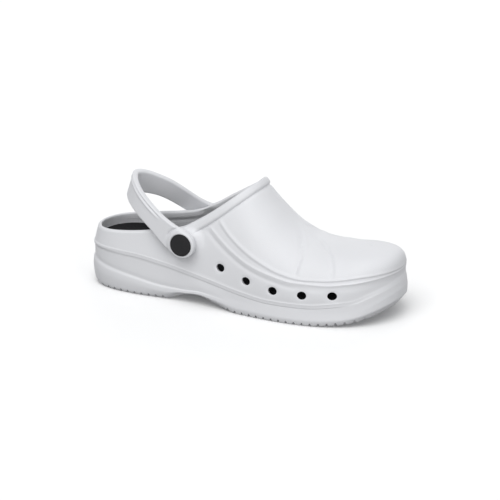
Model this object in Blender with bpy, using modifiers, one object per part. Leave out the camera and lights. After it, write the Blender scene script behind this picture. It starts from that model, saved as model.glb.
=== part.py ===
# Moulded foam clog, right foot, with a heel strap that turns on two rivets.
# Upper and sole are one moulding. +X points to the toe, -Y to the outer side of the foot, +Z up.
# The floor is z = 0, and the origin is under the middle of the shoe.
# Sizes are in millimetres and become metres when a mesh is written.
# A station is a distance from the back of the heel, along the shoe.

import math

import bmesh
import bpy
import numpy as np
from mathutils import Matrix, Vector

MM = 0.001

# Driving sizes of the shoe.
LENGTH = 290.0
TOE_SHIFT = 6.0          # the toe tip lies this far to the inner side of the long axis
WALL = 4.5
COLLAR_LIP = 2.2         # height of the round on top of the collar
BED_ROUND = 3.0          # the inner wall turns into the bed at this height
BED_INSET = 2.5          # and the flat bed starts this far inside the wall
WALL_DROP = 25.0         # length of wall that one radian below its foot stands for
MOUTH_SHARE = 0.36       # share of the way round at which the columns close up towards the throat
GAP = 0.3                # running clearance between pieces

# Plan of the sole where it is widest: station, half width outside, half width inside.
PLAN = (
    (12, 27.0, 26.5),
    (42, 38.5, 38.0),
    (88, 40.5, 37.0),
    (135, 45.5, 40.5),
    (180, 51.5, 48.0),
    (215, 52.5, 52.5),
    (245, 47.0, 51.0),
    (268, 35.5, 43.5),
    (283, 19.0, 31.0),
)

# Heights of the lines that run round the shoe:
# station, tread, heel crease, sole ridge, vamp edge, collar, footbed under the insole.
LINE_NAMES = ("tread", "crease", "ridge", "vamp_edge", "collar", "footbed")
LINES = (
    (0, 2.0, 26.0, 36.5, 60.0, 52.0, 40.0),
    (20, 0.0, 22.5, 37.3, 61.0, 53.0, 39.7),
    (55, 0.0, 17.0, 36.4, 66.0, 57.0, 38.5),
    (85, 0.0, 12.5, 32.4, 78.0, 63.0, 35.5),
    (105, 6.0, 12.0, 28.9, 96.0, 69.0, 32.0),
    (120, 7.5, 13.0, 26.3, 86.0, 77.5, 28.5),
    (135, 4.5, 12.0, 23.8, 72.0, 88.0, 25.5),
    (160, 0.0, 9.0, 19.6, 53.0, 108.0, 21.5),
    (190, 0.0, 8.0, 16.6, 41.4, 132.0, 18.3),
    (220, 0.0, 8.0, 17.0, 37.0, 156.0, 17.5),
    (250, 2.0, 10.0, 20.4, 38.6, 180.0, 18.5),
    (263, 3.8, 13.0, 23.0, 41.0, 190.8, 19.7),
    (272, 5.8, 17.0, 27.0, 43.0, 198.0, 21.0),
    (290, 10.5, 26.0, 35.0, 46.0, 212.0, 25.0),
)

# Spine over which the two flanks of the upper meet: station, height, shift to the inner side.
# Behind the collar it carries on upwards, and the collar cuts it off.
SPINE = (
    (40, 250.0, 0.0),
    (90, 200.0, 0.5),
    (130, 144.0, 1.5),
    (160, 108.0, 2.0),
    (175, 90.0, 2.4),
    (195, 72.2, 3.0),
    (215, 63.2, 3.4),
    (235, 60.2, 3.7),
    (256, 60.2, 4.0),
)

# The collar stands higher on the inner side: station, extra height.
COLLAR_INSIDE = ((0, 0.0), (85, 0.0), (105, 2.2), (120, 3.0), (133, 2.4), (150, 0.0), (290, 0.0))
COLLAR_TURN = (5.0, 17.0)        # distances to the inner side over which it comes in

# Flank of the upper: station, inward lean, roundness of its foot, roundness of its shoulder.
FLANK = (
    (0, 0.30, 2.2, 2.0),
    (40, 0.22, 2.2, 2.0),
    (105, 0.14, 2.2, 2.0),
    (150, 0.10, 2.2, 2.0),
    (180, 0.04, 2.2, 2.0),
    (210, 0.00, 2.3, 2.1),
    (250, 0.00, 2.5, 2.3),
    (275, 0.00, 3.5, 3.0),
    (290, 0.00, 4.5, 3.5),
)

# Side of the sole: station, how far the tread edge lies inside the plan, depth of the heel crease,
# rise of the rounded edge, depth right under the ridge.
SOLE_SIDE = (
    (0, 7.0, 1.8, 3.5, 1.8),
    (20, 6.0, 1.8, 3.5, 1.8),
    (60, 5.0, 1.6, 3.5, 1.8),
    (105, 8.0, 1.0, 3.5, 1.8),
    (140, 6.0, 0.7, 3.5, 1.8),
    (210, 5.0, 0.7, 3.5, 1.8),
    (250, 7.0, 0.6, 3.5, 1.6),
    (275, 10.0, 0.2, 5.0, 0.5),
    (290, 12.0, 0.0, 5.6, 0.3),
)
RIDGE_HALF = 2.0         # half height of the ridge round the sole
RIDGE_INSET = 0.9
WALL_INSET = 1.8         # the wall above the ridge stands back by this much

# Raised edge of the vamp panel: two beads with a valley between them.
EDGE_STEPS = ((-1.0, 0.0), (-0.5, 1.0), (0.0, 0.2), (0.5, 1.0), (1.0, 0.3))   # share of spread, raised
EDGE_SPREAD = (1.2, 4.0)                 # half width behind and in front of the collar end
EDGE_START = (128.0, 137.0)              # stations between which the beads come out from under the band

# Rolled band along the collar: share of the band, share of its raise.
BAND_STEPS = ((0.0, 0.0), (0.16, 1.0), (0.6, 1.0), (1.0, 0.75))
BAND_RAISE = 1.8
BAND_DROP = (4.5, 10.0)                  # depth of the band at the heel and at the instep
BAND_START = (75.0, 112.0)

# Vent holes through each side, longer along their row: station, height.
VENTS = ((142.5, 39.0), (167.0, 32.0), (193.0, 28.0), (219.0, 26.5), (245.0, 28.5))
VENT_RADII = (4.8, 3.7)   # along the row, across it
VENT_REACH = 9.0

# Ribs of the tread: first station, last station.
RIB_FIELDS = ((14.0, 86.0), (150.0, 277.0))
RIB_PITCH = 7.0
RIB_GROOVE = 2.6
RIB_DEPTH = 2.2

# Insole.
INSOLE_THICK = 4.0
INSOLE_CUP = 2.2         # its rim stands up by this much at the heel
INSOLE_SIDE_GAP = 0.5

# Rivets and strap. The rivets' axis runs straight across the shoe.
RIVET_STATION = 106.0
RIVET_HEIGHT = 54.6
STRAP_MIDDLE = -2.0      # the strap's middle plane, across the shoe
PAD_RADIUS = 10.4
PAD_FACE = 39.0          # outer face of the pad, from the strap's middle plane
PAD_ROOT = 31.5
PAD_INNER_RADIUS = 8.5
PAD_INNER_FACE = 29.0
PAD_SPARE = 1.0          # the inner pad starts this much too long, and is faced off
FLANGE_SEAT_RADIUS = 9.2
SEAT_REACH = 8.0         # the cutters of seats and bores reach this far past the faces
SHANK_RADIUS = 4.0
FLANGE_RADIUS = 7.5
FLANGE_THICK = 1.6
HEAD_RADIUS = 9.6
HEAD_THICK = 2.3
HEAD_SUNK = 1.0          # the head sits this deep in the strap's boss
HEAD_CROWN = 0.5         # rise of the head's middle over its rim
RIVET_EDGE = 0.6         # break of the head's and the flange's edges
STRAP_THICK = 5.2
BOSS_RADIUS = 12.2
BOSS_RAISE = 0.8         # the boss is thicker than the band by this much, on its outer face
STRAP_LIFT = 28.0        # angle of the strap above the floor, in degrees
STRAP_HEEL_LEAN = 13.0   # the band leans forward by this angle behind the heel
STRAP_TWIST = 40.0       # the band starts to straighten up this far from the rivets
STRAP_CORNER = 1.2       # round of the band's long edges
STRAP_TIP = 0.35         # half width that is left where the round of the boss ends
BOSS_FADE = (12.0, 16.0)  # distances from the rivet over which the boss runs out into the band
# Plan of the strap in its own plane: reach from the rivets, half width.
STRAP_PLAN = ((0.0, 41.9), (11.0, 41.6), (28.0, 37.2), (46.0, 30.1), (62.0, 20.8), (71.0, 12.1))
STRAP_REACH = 76.3
# Half width of the band: distance from the rivet along it, upper half, lower half.
STRAP_BAND = (
    (0, 12.2, 12.2),
    (14, 10.6, 10.8),
    (34, 8.8, 8.8),
    (60, 9.2, 9.2),
    (88, 10.8, 10.6),
    (300, 10.8, 10.6),
)


def clear_scene():
    for item in list(bpy.data.objects):
        bpy.data.objects.remove(item, do_unlink=True)


def column(table, index):
    return np.array([row[index] for row in table], float)


def smooth_line(xs, ys, at):
    """Monotone cubic through the given points: it keeps level stretches level."""
    xs = np.asarray(xs, float)
    ys = np.asarray(ys, float)
    step = np.diff(xs)
    slope = np.diff(ys) / step
    tangent = np.concatenate([slope[:1], np.zeros(len(xs) - 2), slope[-1:]])
    for i in range(1, len(xs) - 1):
        if slope[i - 1] * slope[i] > 0:
            before = 2 * step[i] + step[i - 1]
            after = step[i] + 2 * step[i - 1]
            tangent[i] = (before + after) / (before / slope[i - 1] + after / slope[i])
    at = np.asarray(at, float)
    i = np.clip(np.searchsorted(xs, at) - 1, 0, len(xs) - 2)
    t = (at - xs[i]) / step[i]
    start = (1 + 2 * t) * (1 - t) ** 2 * ys[i] + t * (1 - t) ** 2 * step[i] * tangent[i]
    end = t * t * (3 - 2 * t) * ys[i + 1] + t * t * (t - 1) * step[i] * tangent[i + 1]
    return start + end


def closed_spline(points, per_span):
    """Periodic cubic through plan points; gives the dense curve."""
    points = np.asarray(points, float)
    count = len(points)
    span = np.linalg.norm(np.roll(points, -1, 0) - points, axis=1)
    matrix = np.zeros((count, count))
    bend = np.zeros((count, 2))
    for i in range(count):
        before = (i - 1) % count
        after = (i + 1) % count
        matrix[i, before] += span[before]
        matrix[i, i] += 2 * (span[before] + span[i])
        matrix[i, after] += span[i]
        bend[i] = 6 * ((points[after] - points[i]) / span[i] - (points[i] - points[before]) / span[before])
    second = np.linalg.solve(matrix, bend)
    pieces = []
    for i in range(count):
        after = (i + 1) % count
        t = np.linspace(0, span[i], per_span, endpoint=False)[:, None]
        first = (points[after] - points[i]) / span[i] - span[i] * (2 * second[i] + second[after]) / 6
        third = (second[after] - second[i]) / span[i]
        pieces.append(points[i] + t * (first + t * (second[i] / 2 + t * third / 6)))
    return np.concatenate(pieces)


def by_length(curve, share):
    """Points at shares of a dense curve's length."""
    length = np.concatenate([[0], np.cumsum(np.linalg.norm(np.diff(curve, axis=0), axis=1))])
    return np.stack([np.interp(share, length / length[-1], axis) for axis in curve.T], 1)


def ramp(value, bounds):
    """0 before the bounds, 1 after them, smooth between."""
    t = np.clip((np.asarray(value, float) - bounds[0]) / (bounds[1] - bounds[0]), 0, 1)
    return t * t * (3 - 2 * t)


def make_halves():
    """Outer and inner half of the plan, each from the heel to the toe tip."""
    outside = [(station, -out) for station, out, _ in PLAN]
    inside = [(station, inn) for station, _, inn in PLAN]
    per_span = 60
    loop = closed_spline([(0.0, 0.0)] + outside + [(LENGTH, TOE_SHIFT)] + inside[::-1], per_span)
    toe = per_span * (len(PLAN) + 1)
    return loop[:toe + 1], np.concatenate([loop[toe:], loop[:1]])[::-1]


OUTER_HALF, INNER_HALF = make_halves()
FOCUS = (40.0, 65.0, 105.0, 145.0, 190.0, 230.0, 256.0)   # spine stations, heel fan to toe fan


def make_focus_shares():
    """Share of the way round at which a column of the wall aims at each focus."""
    share = np.linspace(0, 1, 801)
    station = (by_length(OUTER_HALF, share)[:, 0] + by_length(INNER_HALF, share)[:, 0]) / 2
    return np.concatenate([[0], np.interp(FOCUS[1:-1], station, share), [1]])


FOCUS_SHARES = make_focus_shares()


def line_height(name, station):
    return smooth_line(column(LINES, 0), column(LINES, 1 + LINE_NAMES.index(name)), station)


def wall_column(side, share):
    """Plan point of a column of the wall, its inward direction, the way to the spine and the spine point."""
    outer = by_length(OUTER_HALF, share)
    inner = by_length(INNER_HALF, share)
    foot = np.where((side < 0)[:, None], outer, inner)
    station = smooth_line(FOCUS_SHARES, FOCUS, share)
    spine = np.stack([station, smooth_line(column(SPINE, 0), column(SPINE, 2), station)], 1)
    way = np.linalg.norm(spine - foot, axis=1)
    return foot, (spine - foot) / way[:, None], way, spine


def flank_point(side, share, angle, inside=0.0):
    """Point of the upper: angle 0 at the foot of its wall, a right angle on the spine, below 0 down the wall.

    inside is the distance inwards from the outer skin.
    """
    foot, inward, way, spine = wall_column(side, share)
    station = foot[:, 0]
    low = line_height("ridge", station) + RIDGE_HALF
    high = smooth_line(column(SPINE, 0), column(SPINE, 1), spine[:, 0]) - inside
    lean, foot_round, shoulder = (smooth_line(column(FLANK, 0), column(FLANK, i), station) for i in (1, 2, 3))
    up = np.maximum(angle, 0)
    share_in = 1 - np.cos(up) ** (2 / shoulder)
    height = low + (high - low) * np.sin(up) ** (2 / foot_round) + WALL_DROP * np.minimum(angle, 0)
    start = WALL_INSET + inside
    depth = start + (way - start) * share_in + lean * (height - low) * (1 - share_in)
    return np.column_stack([foot + inward * depth[:, None], height])


def find_angle(side, share, above, inside=0.0):
    """Angle at which a column first satisfies above(points), or a right angle."""
    low = np.full(len(share), -1.5)
    high = np.full(len(share), math.pi / 2)
    for _ in range(40):
        middle = (low + high) / 2
        over = above(flank_point(side, share, middle, inside))
        high = np.where(over, middle, high)
        low = np.where(over, low, middle)
    return np.where(high > math.pi / 2 - 1e-7, math.pi / 2, (low + high) / 2)


def collar_height(points):
    extra = smooth_line(column(COLLAR_INSIDE, 0), column(COLLAR_INSIDE, 1), points[:, 0])
    return line_height("collar", points[:, 0]) + extra * ramp(points[:, 1], COLLAR_TURN)


def below_collar(drop):
    """Test for points that have come up to a line below the collar."""
    return lambda p: p[:, 2] > collar_height(p) - drop(p[:, 0])


def lip_drop(station):
    return COLLAR_LIP + 0 * station


def band_drop(station):
    return BAND_DROP[0] + (BAND_DROP[1] - BAND_DROP[0]) * ramp(station, BAND_START)


def spine_share(drop, inside=0.0):
    """Share of the way round at which a line below the collar crosses the spine."""
    share = np.linspace(0.3, 0.8, 4001)
    crest = flank_point(-np.ones(4001), share, np.full(4001, math.pi / 2), inside)
    return share[np.argmax(~below_collar(drop)(crest))]


def column_shares(throat, band_end):
    """Shares of the columns on one side, closer together round the heel, the throat and the toe."""
    opening = throat - (throat - MOUTH_SHARE) * np.linspace(1, 0, 10) ** 1.5
    crossing = band_end - (band_end - throat) * np.linspace(1, 0, 4) ** 1.5
    return np.unique(np.concatenate([
        np.linspace(0, 0.11, 7), np.linspace(0.11, MOUTH_SHARE, 9), opening, crossing,
        np.linspace(band_end, 0.84, 9), np.linspace(0.84, 1, 10)]))


def sole_rows(side, share):
    """Underside and side of the sole, from the middle of the tread up to the foot of the wall."""
    foot, inward, way, _ = wall_column(side, share)
    station = foot[:, 0]
    tread, crease, ridge = (line_height(name, station) for name in ("tread", "crease", "ridge"))
    edge, hollow, rise, under = (
        smooth_line(column(SOLE_SIDE, 0), column(SOLE_SIDE, i), station) for i in (1, 2, 3, 4))

    def place(depth, height):
        return np.column_stack([foot + inward * depth[:, None], height])

    rows = []
    for reach in (1.0, 0.5):
        flat = place(edge + (way - edge) * reach, tread)
        flat[:, 2] = line_height("tread", flat[:, 0])
        rows.append(flat)
    rows.append(place(edge, tread))
    rows.append(place(edge * 0.4, tread + rise))
    rows.append(place(0 * edge, tread + 0.6 * (crease - tread)))
    rows.append(place(hollow, crease))
    rows.append(place(hollow + 0.3, (crease + ridge) / 2))
    rows.append(place(under, ridge - RIDGE_HALF))
    rows.append(place(0 * edge + RIDGE_INSET, ridge))
    return rows


def body_rows():
    """Grid of the moulding: rows from the middle of the tread, over the collar and down to the bed."""
    throat = spine_share(lip_drop)
    throat_inside = spine_share(lip_drop, WALL)
    band_end = spine_share(band_drop)
    half = column_shares(throat, band_end)
    share = np.concatenate([half, half[-2:0:-1]])
    side = np.concatenate([-np.ones(len(half)), np.ones(len(half) - 2)])
    station = wall_column(side, share)[0][:, 0]

    edge_on = ramp(station, EDGE_START)
    spread = EDGE_SPREAD[0] + (EDGE_SPREAD[1] - EDGE_SPREAD[0]) * edge_on
    edge_height = line_height("vamp_edge", station)
    in_front = share >= throat - 1e-9
    band = find_angle(side, share, below_collar(band_drop))
    band[share >= band_end - 1e-9] = math.pi / 2
    top = find_angle(side, share, below_collar(lip_drop))
    top[in_front] = math.pi / 2
    angles = [np.zeros(len(share))]
    raised = [np.zeros(len(share))]
    edge_angles = []
    for step, raise_share in EDGE_STEPS:
        height = edge_height + step * spread
        angle = find_angle(side, share, lambda p, h=height: p[:, 2] > h)
        edge_angles.append((np.minimum(angle, band - 0.012 * (1.2 - step)), raise_share * edge_on))
    angles.append(edge_angles[0][0] * 0.5)
    raised.append(0 * station)
    for angle, lift in edge_angles:
        angles.append(angle)
        raised.append(lift)
    for part in (0.25, 0.5, 0.75):
        angles.append(edge_angles[-1][0] * (1 - part) + band * part)
        raised.append(0.3 * edge_on * (1 - part))
    band_on = ramp(station, BAND_START)
    for part, raise_share in BAND_STEPS:
        angles.append(band * (1 - part) + top * part)
        raised.append(raise_share * BAND_RAISE * band_on)
    skin = np.array([flank_point(side, share, angle) for angle in angles])
    skin = raise_skin(skin, np.array(raised))
    meet_on_spine(skin, np.array(angles), len(half))

    shift = (throat_inside - throat) * np.exp(-((share - throat) / 0.06) ** 2)
    share_in = share + shift
    top_in = find_angle(side, share_in, below_collar(lip_drop), WALL)
    top_in[in_front] = math.pi / 2
    bed_in = line_height("footbed", station)

    def above_bed(points):
        return points[:, 2] > line_height("footbed", points[:, 0]) + BED_ROUND

    foot_in = find_angle(side, share_in, above_bed, WALL)
    inner = [flank_point(side, share_in, top_in * (1 - part) + foot_in * part, WALL)
             for part in (0.0, 0.12, 0.28, 0.46, 0.64, 0.82, 1.0)]
    at_mouth = share <= throat + 1e-9
    rim = lip_rows(skin[-2:], inner[0])
    meet_on_spine(rim, np.tile(top, (len(rim), 1)), len(half))

    foot, inward, way, _ = wall_column(side, share_in)
    bed = []
    start = WALL_INSET + WALL + BED_INSET
    for part in (0.0, 0.5, 1.0):
        flat = np.column_stack([foot + inward * (start + (way - start) * part)[:, None], bed_in])
        flat[:, 2] = line_height("footbed", flat[:, 0])
        bed.append(flat)

    rows = sole_rows(side, share) + list(skin) + list(rim) + inner + bed
    first_rim = len(sole_rows(side, share)) + len(skin) - 1
    return np.array(rows), at_mouth, (first_rim, first_rim + len(rim) + 1)


def raise_skin(skin, raised):
    """Moves each point of a closed grid along the outward normal."""
    across = np.roll(skin, -1, 1) - np.roll(skin, 1, 1)
    up = np.gradient(skin, axis=0)
    normal = np.cross(across, up)
    size = np.linalg.norm(normal, axis=2, keepdims=True)
    return skin + normal / np.maximum(size, 1e-9) * raised[:, :, None]


def meet_on_spine(skin, angles, half):
    """Gives the two flanks the same point where both reach the spine."""
    total = skin.shape[1]
    for j in range(1, half - 1):
        other = total - j
        on_spine = angles[:, j] > math.pi / 2 - 1e-6
        middle = (skin[on_spine, j] + skin[on_spine, other]) / 2
        skin[on_spine, j] = middle
        skin[on_spine, other] = middle


def lip_rows(outer, inner):
    """Rounded top of the collar, from the outer edge over to the inner one."""
    up = outer[1] - outer[0]
    up = up / np.maximum(np.linalg.norm(up, axis=1, keepdims=True), 1e-9)
    middle = (outer[1] + inner) / 2
    reach = (outer[1] - inner) / 2
    rows = []
    for turn in (45, 90, 135):
        t = math.radians(turn)
        rows.append(middle + reach * math.cos(t) + up * COLLAR_LIP * math.sin(t))
    return np.array(rows)


def mesh_from(name, points, faces, origin=(LENGTH / 2, 0, 0)):
    """Closed mesh from points in millimetres, seen from its origin, with the shared points welded."""
    placed = np.asarray(points, float).reshape(-1, 3) - origin
    mesh = bpy.data.meshes.new(name)
    mesh.from_pydata((placed * MM).tolist(), [], faces)
    work = bmesh.new()
    work.from_mesh(mesh)
    bmesh.ops.remove_doubles(work, verts=work.verts, dist=0.02 * MM)
    loose = [v for v in work.verts if not v.link_faces]
    bmesh.ops.delete(work, geom=loose, context="VERTS")
    bmesh.ops.recalc_face_normals(work, faces=work.faces)
    work.to_mesh(mesh)
    work.free()
    mesh.shade_smooth()
    mesh.set_sharp_from_angle(angle=math.radians(35))
    return mesh


def grid_faces(rows, columns, keep=lambda i, j: True):
    """Quads of a grid whose columns close into a ring."""
    return [(i * columns + j, i * columns + (j + 1) % columns,
             (i + 1) * columns + (j + 1) % columns, (i + 1) * columns + j)
            for i in range(rows - 1) for j in range(columns) if keep(i, j)]


def make_material(name, colour, roughness, metallic=0.0):
    material = bpy.data.materials.new(name)
    material.use_nodes = True
    shader = material.node_tree.nodes["Principled BSDF"]
    shader.inputs["Base Color"].default_value = (*colour, 1)
    shader.inputs["Roughness"].default_value = roughness
    shader.inputs["Metallic"].default_value = metallic
    return material


def add_object(name, mesh, collection, material=None):
    item = bpy.data.objects.new(name, mesh)
    collection.objects.link(item)
    if material:
        mesh.materials.append(material)
    return item


def add_cutter(name, build, collection):
    """Hidden object whose closed shapes are made by build(bmesh)."""
    work = bmesh.new()
    build(work)
    mesh = bpy.data.meshes.new(name)
    work.to_mesh(mesh)
    work.free()
    item = add_object(name, mesh, collection)
    item.hide_render = True
    item.display_type = "WIRE"
    return item


def cut_with(item, cutter, operation="DIFFERENCE"):
    modifier = item.modifiers.new(cutter.name, "BOOLEAN")
    modifier.object = cutter
    modifier.operation = operation
    modifier.solver = "EXACT"


def add_rod(work, start, end, radius, sides):
    """Cylinder between two points given in millimetres."""
    start = Vector(start) * MM
    end = Vector(end) * MM
    axis = end - start
    turn = axis.to_track_quat("Z", "Y").to_matrix().to_4x4()
    bmesh.ops.create_cone(work, cap_ends=True, segments=sides, radius1=radius * MM, radius2=radius * MM,
                          depth=axis.length, matrix=Matrix.Translation((start + end) / 2) @ turn)


def vent_axes():
    """Outer point of each vent hole, its outward direction and the direction of its row."""
    axes = []
    for side_sign in (-1.0, 1.0):
        half = OUTER_HALF if side_sign < 0 else INNER_HALF
        share = np.linspace(0, 1, 1601)
        station = by_length(half, share)[:, 0]
        points = []
        normals = []
        for at, height in VENTS:
            side = np.full(3, side_sign)
            near = np.interp(at, station, share) + np.array([-0.004, 0.0, 0.004])
            angle = find_angle(side, near, lambda p, h=height: p[:, 2] > h)
            along = flank_point(side, near, angle)
            raised = flank_point(side, near, angle + 0.02)
            normal = np.cross(along[2] - along[0], raised[1] - along[1]) * -side_sign
            points.append(along[1])
            normals.append(normal / np.linalg.norm(normal))
        axes += zip(points, normals, np.gradient(np.array(points), axis=0))
    return axes


def build_vents(work):
    for point, normal, row in vent_axes():
        across = np.cross(normal, row)
        across = across / np.linalg.norm(across)
        along = np.cross(across, normal)
        turn = Matrix((along * VENT_RADII[0], across * VENT_RADII[1], normal * 2 * VENT_REACH)).transposed()
        place = Matrix.Translation(Vector(point - (LENGTH / 2, 0, 0)) * MM)
        bmesh.ops.create_cone(work, cap_ends=True, segments=16, radius1=MM, radius2=MM, depth=MM,
                              matrix=place @ turn.to_4x4())


def rib_stations():
    for first, last in RIB_FIELDS:
        count = int((last - first) / RIB_PITCH)
        for i in range(count + 1):
            yield first + i * RIB_PITCH


def build_tread(work):
    """Grooves across the underside; what stays between them are the ribs."""
    width = 140.0
    for station in rib_stations():
        top = float(line_height("tread", station)) + RIB_DEPTH
        bottom = -2.0
        size = Matrix.Diagonal((RIB_GROOVE * MM, width * MM, (top - bottom) * MM, 1))
        place = Matrix.Translation(Vector((station - LENGTH / 2, 0, (top + bottom) / 2)) * MM)
        bmesh.ops.create_cube(work, size=1.0, matrix=place @ size)


def rivet_point(across):
    return (RIVET_STATION - LENGTH / 2, STRAP_MIDDLE + across, RIVET_HEIGHT)


def build_pads(work):
    """Flat seats on the outside for the strap's bosses."""
    for sign in (-1.0, 1.0):
        add_rod(work, rivet_point(sign * PAD_ROOT), rivet_point(sign * PAD_FACE), PAD_RADIUS, 32)


def build_inner_pads(work):
    """Flat seats on the inside for the rivets' flanges."""
    for sign in (-1.0, 1.0):
        inner = rivet_point(sign * (PAD_INNER_FACE - PAD_SPARE))
        outer = rivet_point(sign * (PAD_ROOT + PAD_SPARE))
        add_rod(work, inner, outer, PAD_INNER_RADIUS, 24)


def build_flange_seats(work):
    """Spot faces that keep the wall clear of the rivets' flanges."""
    for sign in (-1.0, 1.0):
        inner = rivet_point(sign * (PAD_INNER_FACE - SEAT_REACH))
        add_rod(work, inner, rivet_point(sign * PAD_INNER_FACE), FLANGE_SEAT_RADIUS, 24)


def build_rivet_bores(work):
    for sign in (-1.0, 1.0):
        inner = rivet_point(sign * (PAD_INNER_FACE - SEAT_REACH))
        outer = rivet_point(sign * (PAD_FACE + 2 * SEAT_REACH))
        add_rod(work, inner, outer, SHANK_RADIUS + GAP, 20)


def build_head_seats(work):
    """Seats of the rivet heads in the strap's bosses."""
    for sign in (-1.0, 1.0):
        face = PAD_FACE + GAP + STRAP_THICK + BOSS_RAISE
        inner = rivet_point(sign * (face - HEAD_SUNK))
        outer = rivet_point(sign * (face + SEAT_REACH))
        add_rod(work, inner, outer, HEAD_RADIUS + GAP, 32)


def make_moulding(parts, cutters, material):
    rows, at_mouth, (rim_start, rim_end) = body_rows()
    count = rows.shape[1]

    def keep(i, j):
        in_rim = rim_start <= i < rim_end
        return not in_rim or (at_mouth[j] and at_mouth[(j + 1) % count])

    faces = grid_faces(len(rows), count, keep)
    mesh = mesh_from("clog_moulding", rows, faces)
    item = add_object("clog_moulding", mesh, parts, material)
    cut_with(item, add_cutter("pads", build_pads, cutters), "UNION")
    cut_with(item, add_cutter("inner_pads", build_inner_pads, cutters), "UNION")
    cut_with(item, add_cutter("flange_seats", build_flange_seats, cutters))
    cut_with(item, add_cutter("moulding_bores", build_rivet_bores, cutters))
    cut_with(item, add_cutter("vents", build_vents, cutters))
    cut_with(item, add_cutter("tread", build_tread, cutters))


def make_insole(parts, material):
    """Liner that follows the footbed and turns up a little round the heel."""
    half = np.unique(np.concatenate([
        np.linspace(0, 0.1, 6), np.linspace(0.1, 0.86, 14), np.linspace(0.86, 1, 7)]))
    share = np.concatenate([half, half[-2:0:-1]])
    side = np.concatenate([-np.ones(len(half)), np.ones(len(half) - 2)])
    foot, inward, way, _ = wall_column(side, share)
    rim = WALL_INSET + WALL + BED_INSET + INSOLE_SIDE_GAP
    rows = []
    for part, lift, cup in ((1.0, GAP, 0), (0.5, GAP, 0), (0.0, GAP, 0),
                            (0.0, GAP + INSOLE_THICK, 1), (0.12, GAP + INSOLE_THICK, 0.45),
                            (0.5, GAP + INSOLE_THICK, 0), (1.0, GAP + INSOLE_THICK, 0)):
        flat = np.column_stack([foot + inward * (rim + (way - rim) * part)[:, None], foot[:, 0]])
        raise_rim = cup * INSOLE_CUP * (1 - ramp(flat[:, 0], (40.0, 130.0)))
        flat[:, 2] = line_height("footbed", flat[:, 0]) + lift + raise_rim
        rows.append(flat)
    mesh = mesh_from("insole", np.array(rows), grid_faces(len(rows), len(share)))
    add_object("insole", mesh, parts, material)


def strap_path():
    """Middle line of the strap in its own plane: reach from the rivets and place across the shoe."""
    per_span = 80
    arm = [(reach, -half) for reach, half in STRAP_PLAN]
    loop = arm + [(STRAP_REACH, 0.0)] + [(reach, -half) for reach, half in arm[::-1]]
    ahead = -40.0            # the guide carries on straight in front of the rivets
    guide = [(ahead, -STRAP_PLAN[0][1])] + loop + [(ahead, STRAP_PLAN[0][1])]
    dense = closed_spline(guide, per_span)
    run = dense[per_span:per_span * len(loop) + 1]
    length = np.concatenate([[0], np.cumsum(np.linalg.norm(np.diff(run, axis=0), axis=1))])
    return run, length


def make_strap(parts, cutters, material):
    """Band swept along its path, with a round boss on each rivet. Its origin lies on the rivets' axis."""
    run, length = strap_path()
    total = length[-1]
    arm_run = 30.0
    end = BOSS_RADIUS * np.cos(np.linspace(0, math.pi / 2, 7))
    arm = np.concatenate([-end[:-1], np.linspace(0, arm_run, 7)[1:]])
    middle = np.linspace(arm_run, total - arm_run, 26)[1:-1]
    at = np.concatenate([arm, middle, total - arm[::-1]])
    from_rivet = np.minimum(at, total - at)
    inside = np.clip(at, 0, total)
    reach = np.interp(inside, length, run[:, 0]) + np.minimum(from_rivet, 0)
    across = np.interp(inside, length, run[:, 1])

    round_end = np.sqrt(np.maximum(BOSS_RADIUS ** 2 - from_rivet ** 2, STRAP_TIP ** 2))
    upper, lower = (smooth_line(column(STRAP_BAND, 0), column(STRAP_BAND, i), np.maximum(from_rivet, 0))
                    for i in (1, 2))
    upper = np.where(from_rivet < 0, round_end, upper)
    lower = np.where(from_rivet < 0, round_end, lower)
    inner_face = STRAP_THICK / 2
    outer_face = STRAP_THICK / 2 + BOSS_RAISE * (1 - ramp(from_rivet, BOSS_FADE))
    round_off = STRAP_CORNER
    break_off = STRAP_CORNER / 2
    sections = (
        (upper - break_off, outer_face), (upper, outer_face - round_off),
        (upper, round_off - inner_face), (upper - break_off, -inner_face),
        (break_off - lower, -inner_face), (-lower, round_off - inner_face),
        (-lower, outer_face - round_off), (break_off - lower, outer_face))

    tangent = np.stack([np.gradient(reach, at), np.gradient(across, at)], 1)
    tangent /= np.linalg.norm(tangent, axis=1, keepdims=True)
    outward = np.stack([tangent[:, 1], -tangent[:, 0]], 1)
    lift = math.radians(STRAP_LIFT)
    back = np.array([-math.cos(lift), 0, math.sin(lift)])
    aside = np.array([0, 1.0, 0])
    upright = ramp(from_rivet, (STRAP_TWIST, total / 2))
    lean = np.radians(STRAP_LIFT + (STRAP_HEEL_LEAN - STRAP_LIFT) * upright)
    rise = np.stack([np.sin(lean), 0 * lean, np.cos(lean)], 1)
    ring = []
    for wide, deep in sections:
        plan = np.stack([reach, across], 1) + outward * np.reshape(deep, (-1, 1))
        ring.append(plan[:, :1] * back + plan[:, 1:] * aside + wide[:, None] * rise)
    points = np.array(ring).transpose(1, 0, 2)

    sides = len(sections)
    faces = grid_faces(len(at), sides)
    last = (len(at) - 1) * sides
    faces.append(tuple(range(sides)))
    faces.append(tuple(last + i for i in range(sides)))
    mesh = mesh_from("heel_strap", points, faces, (0, 0, 0))
    item = add_object("heel_strap", mesh, parts, material)
    item.location = Vector(rivet_point(0.0)) * MM
    cut_with(item, add_cutter("strap_bores", build_rivet_bores, cutters))
    cut_with(item, add_cutter("head_seats", build_head_seats, cutters))


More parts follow.
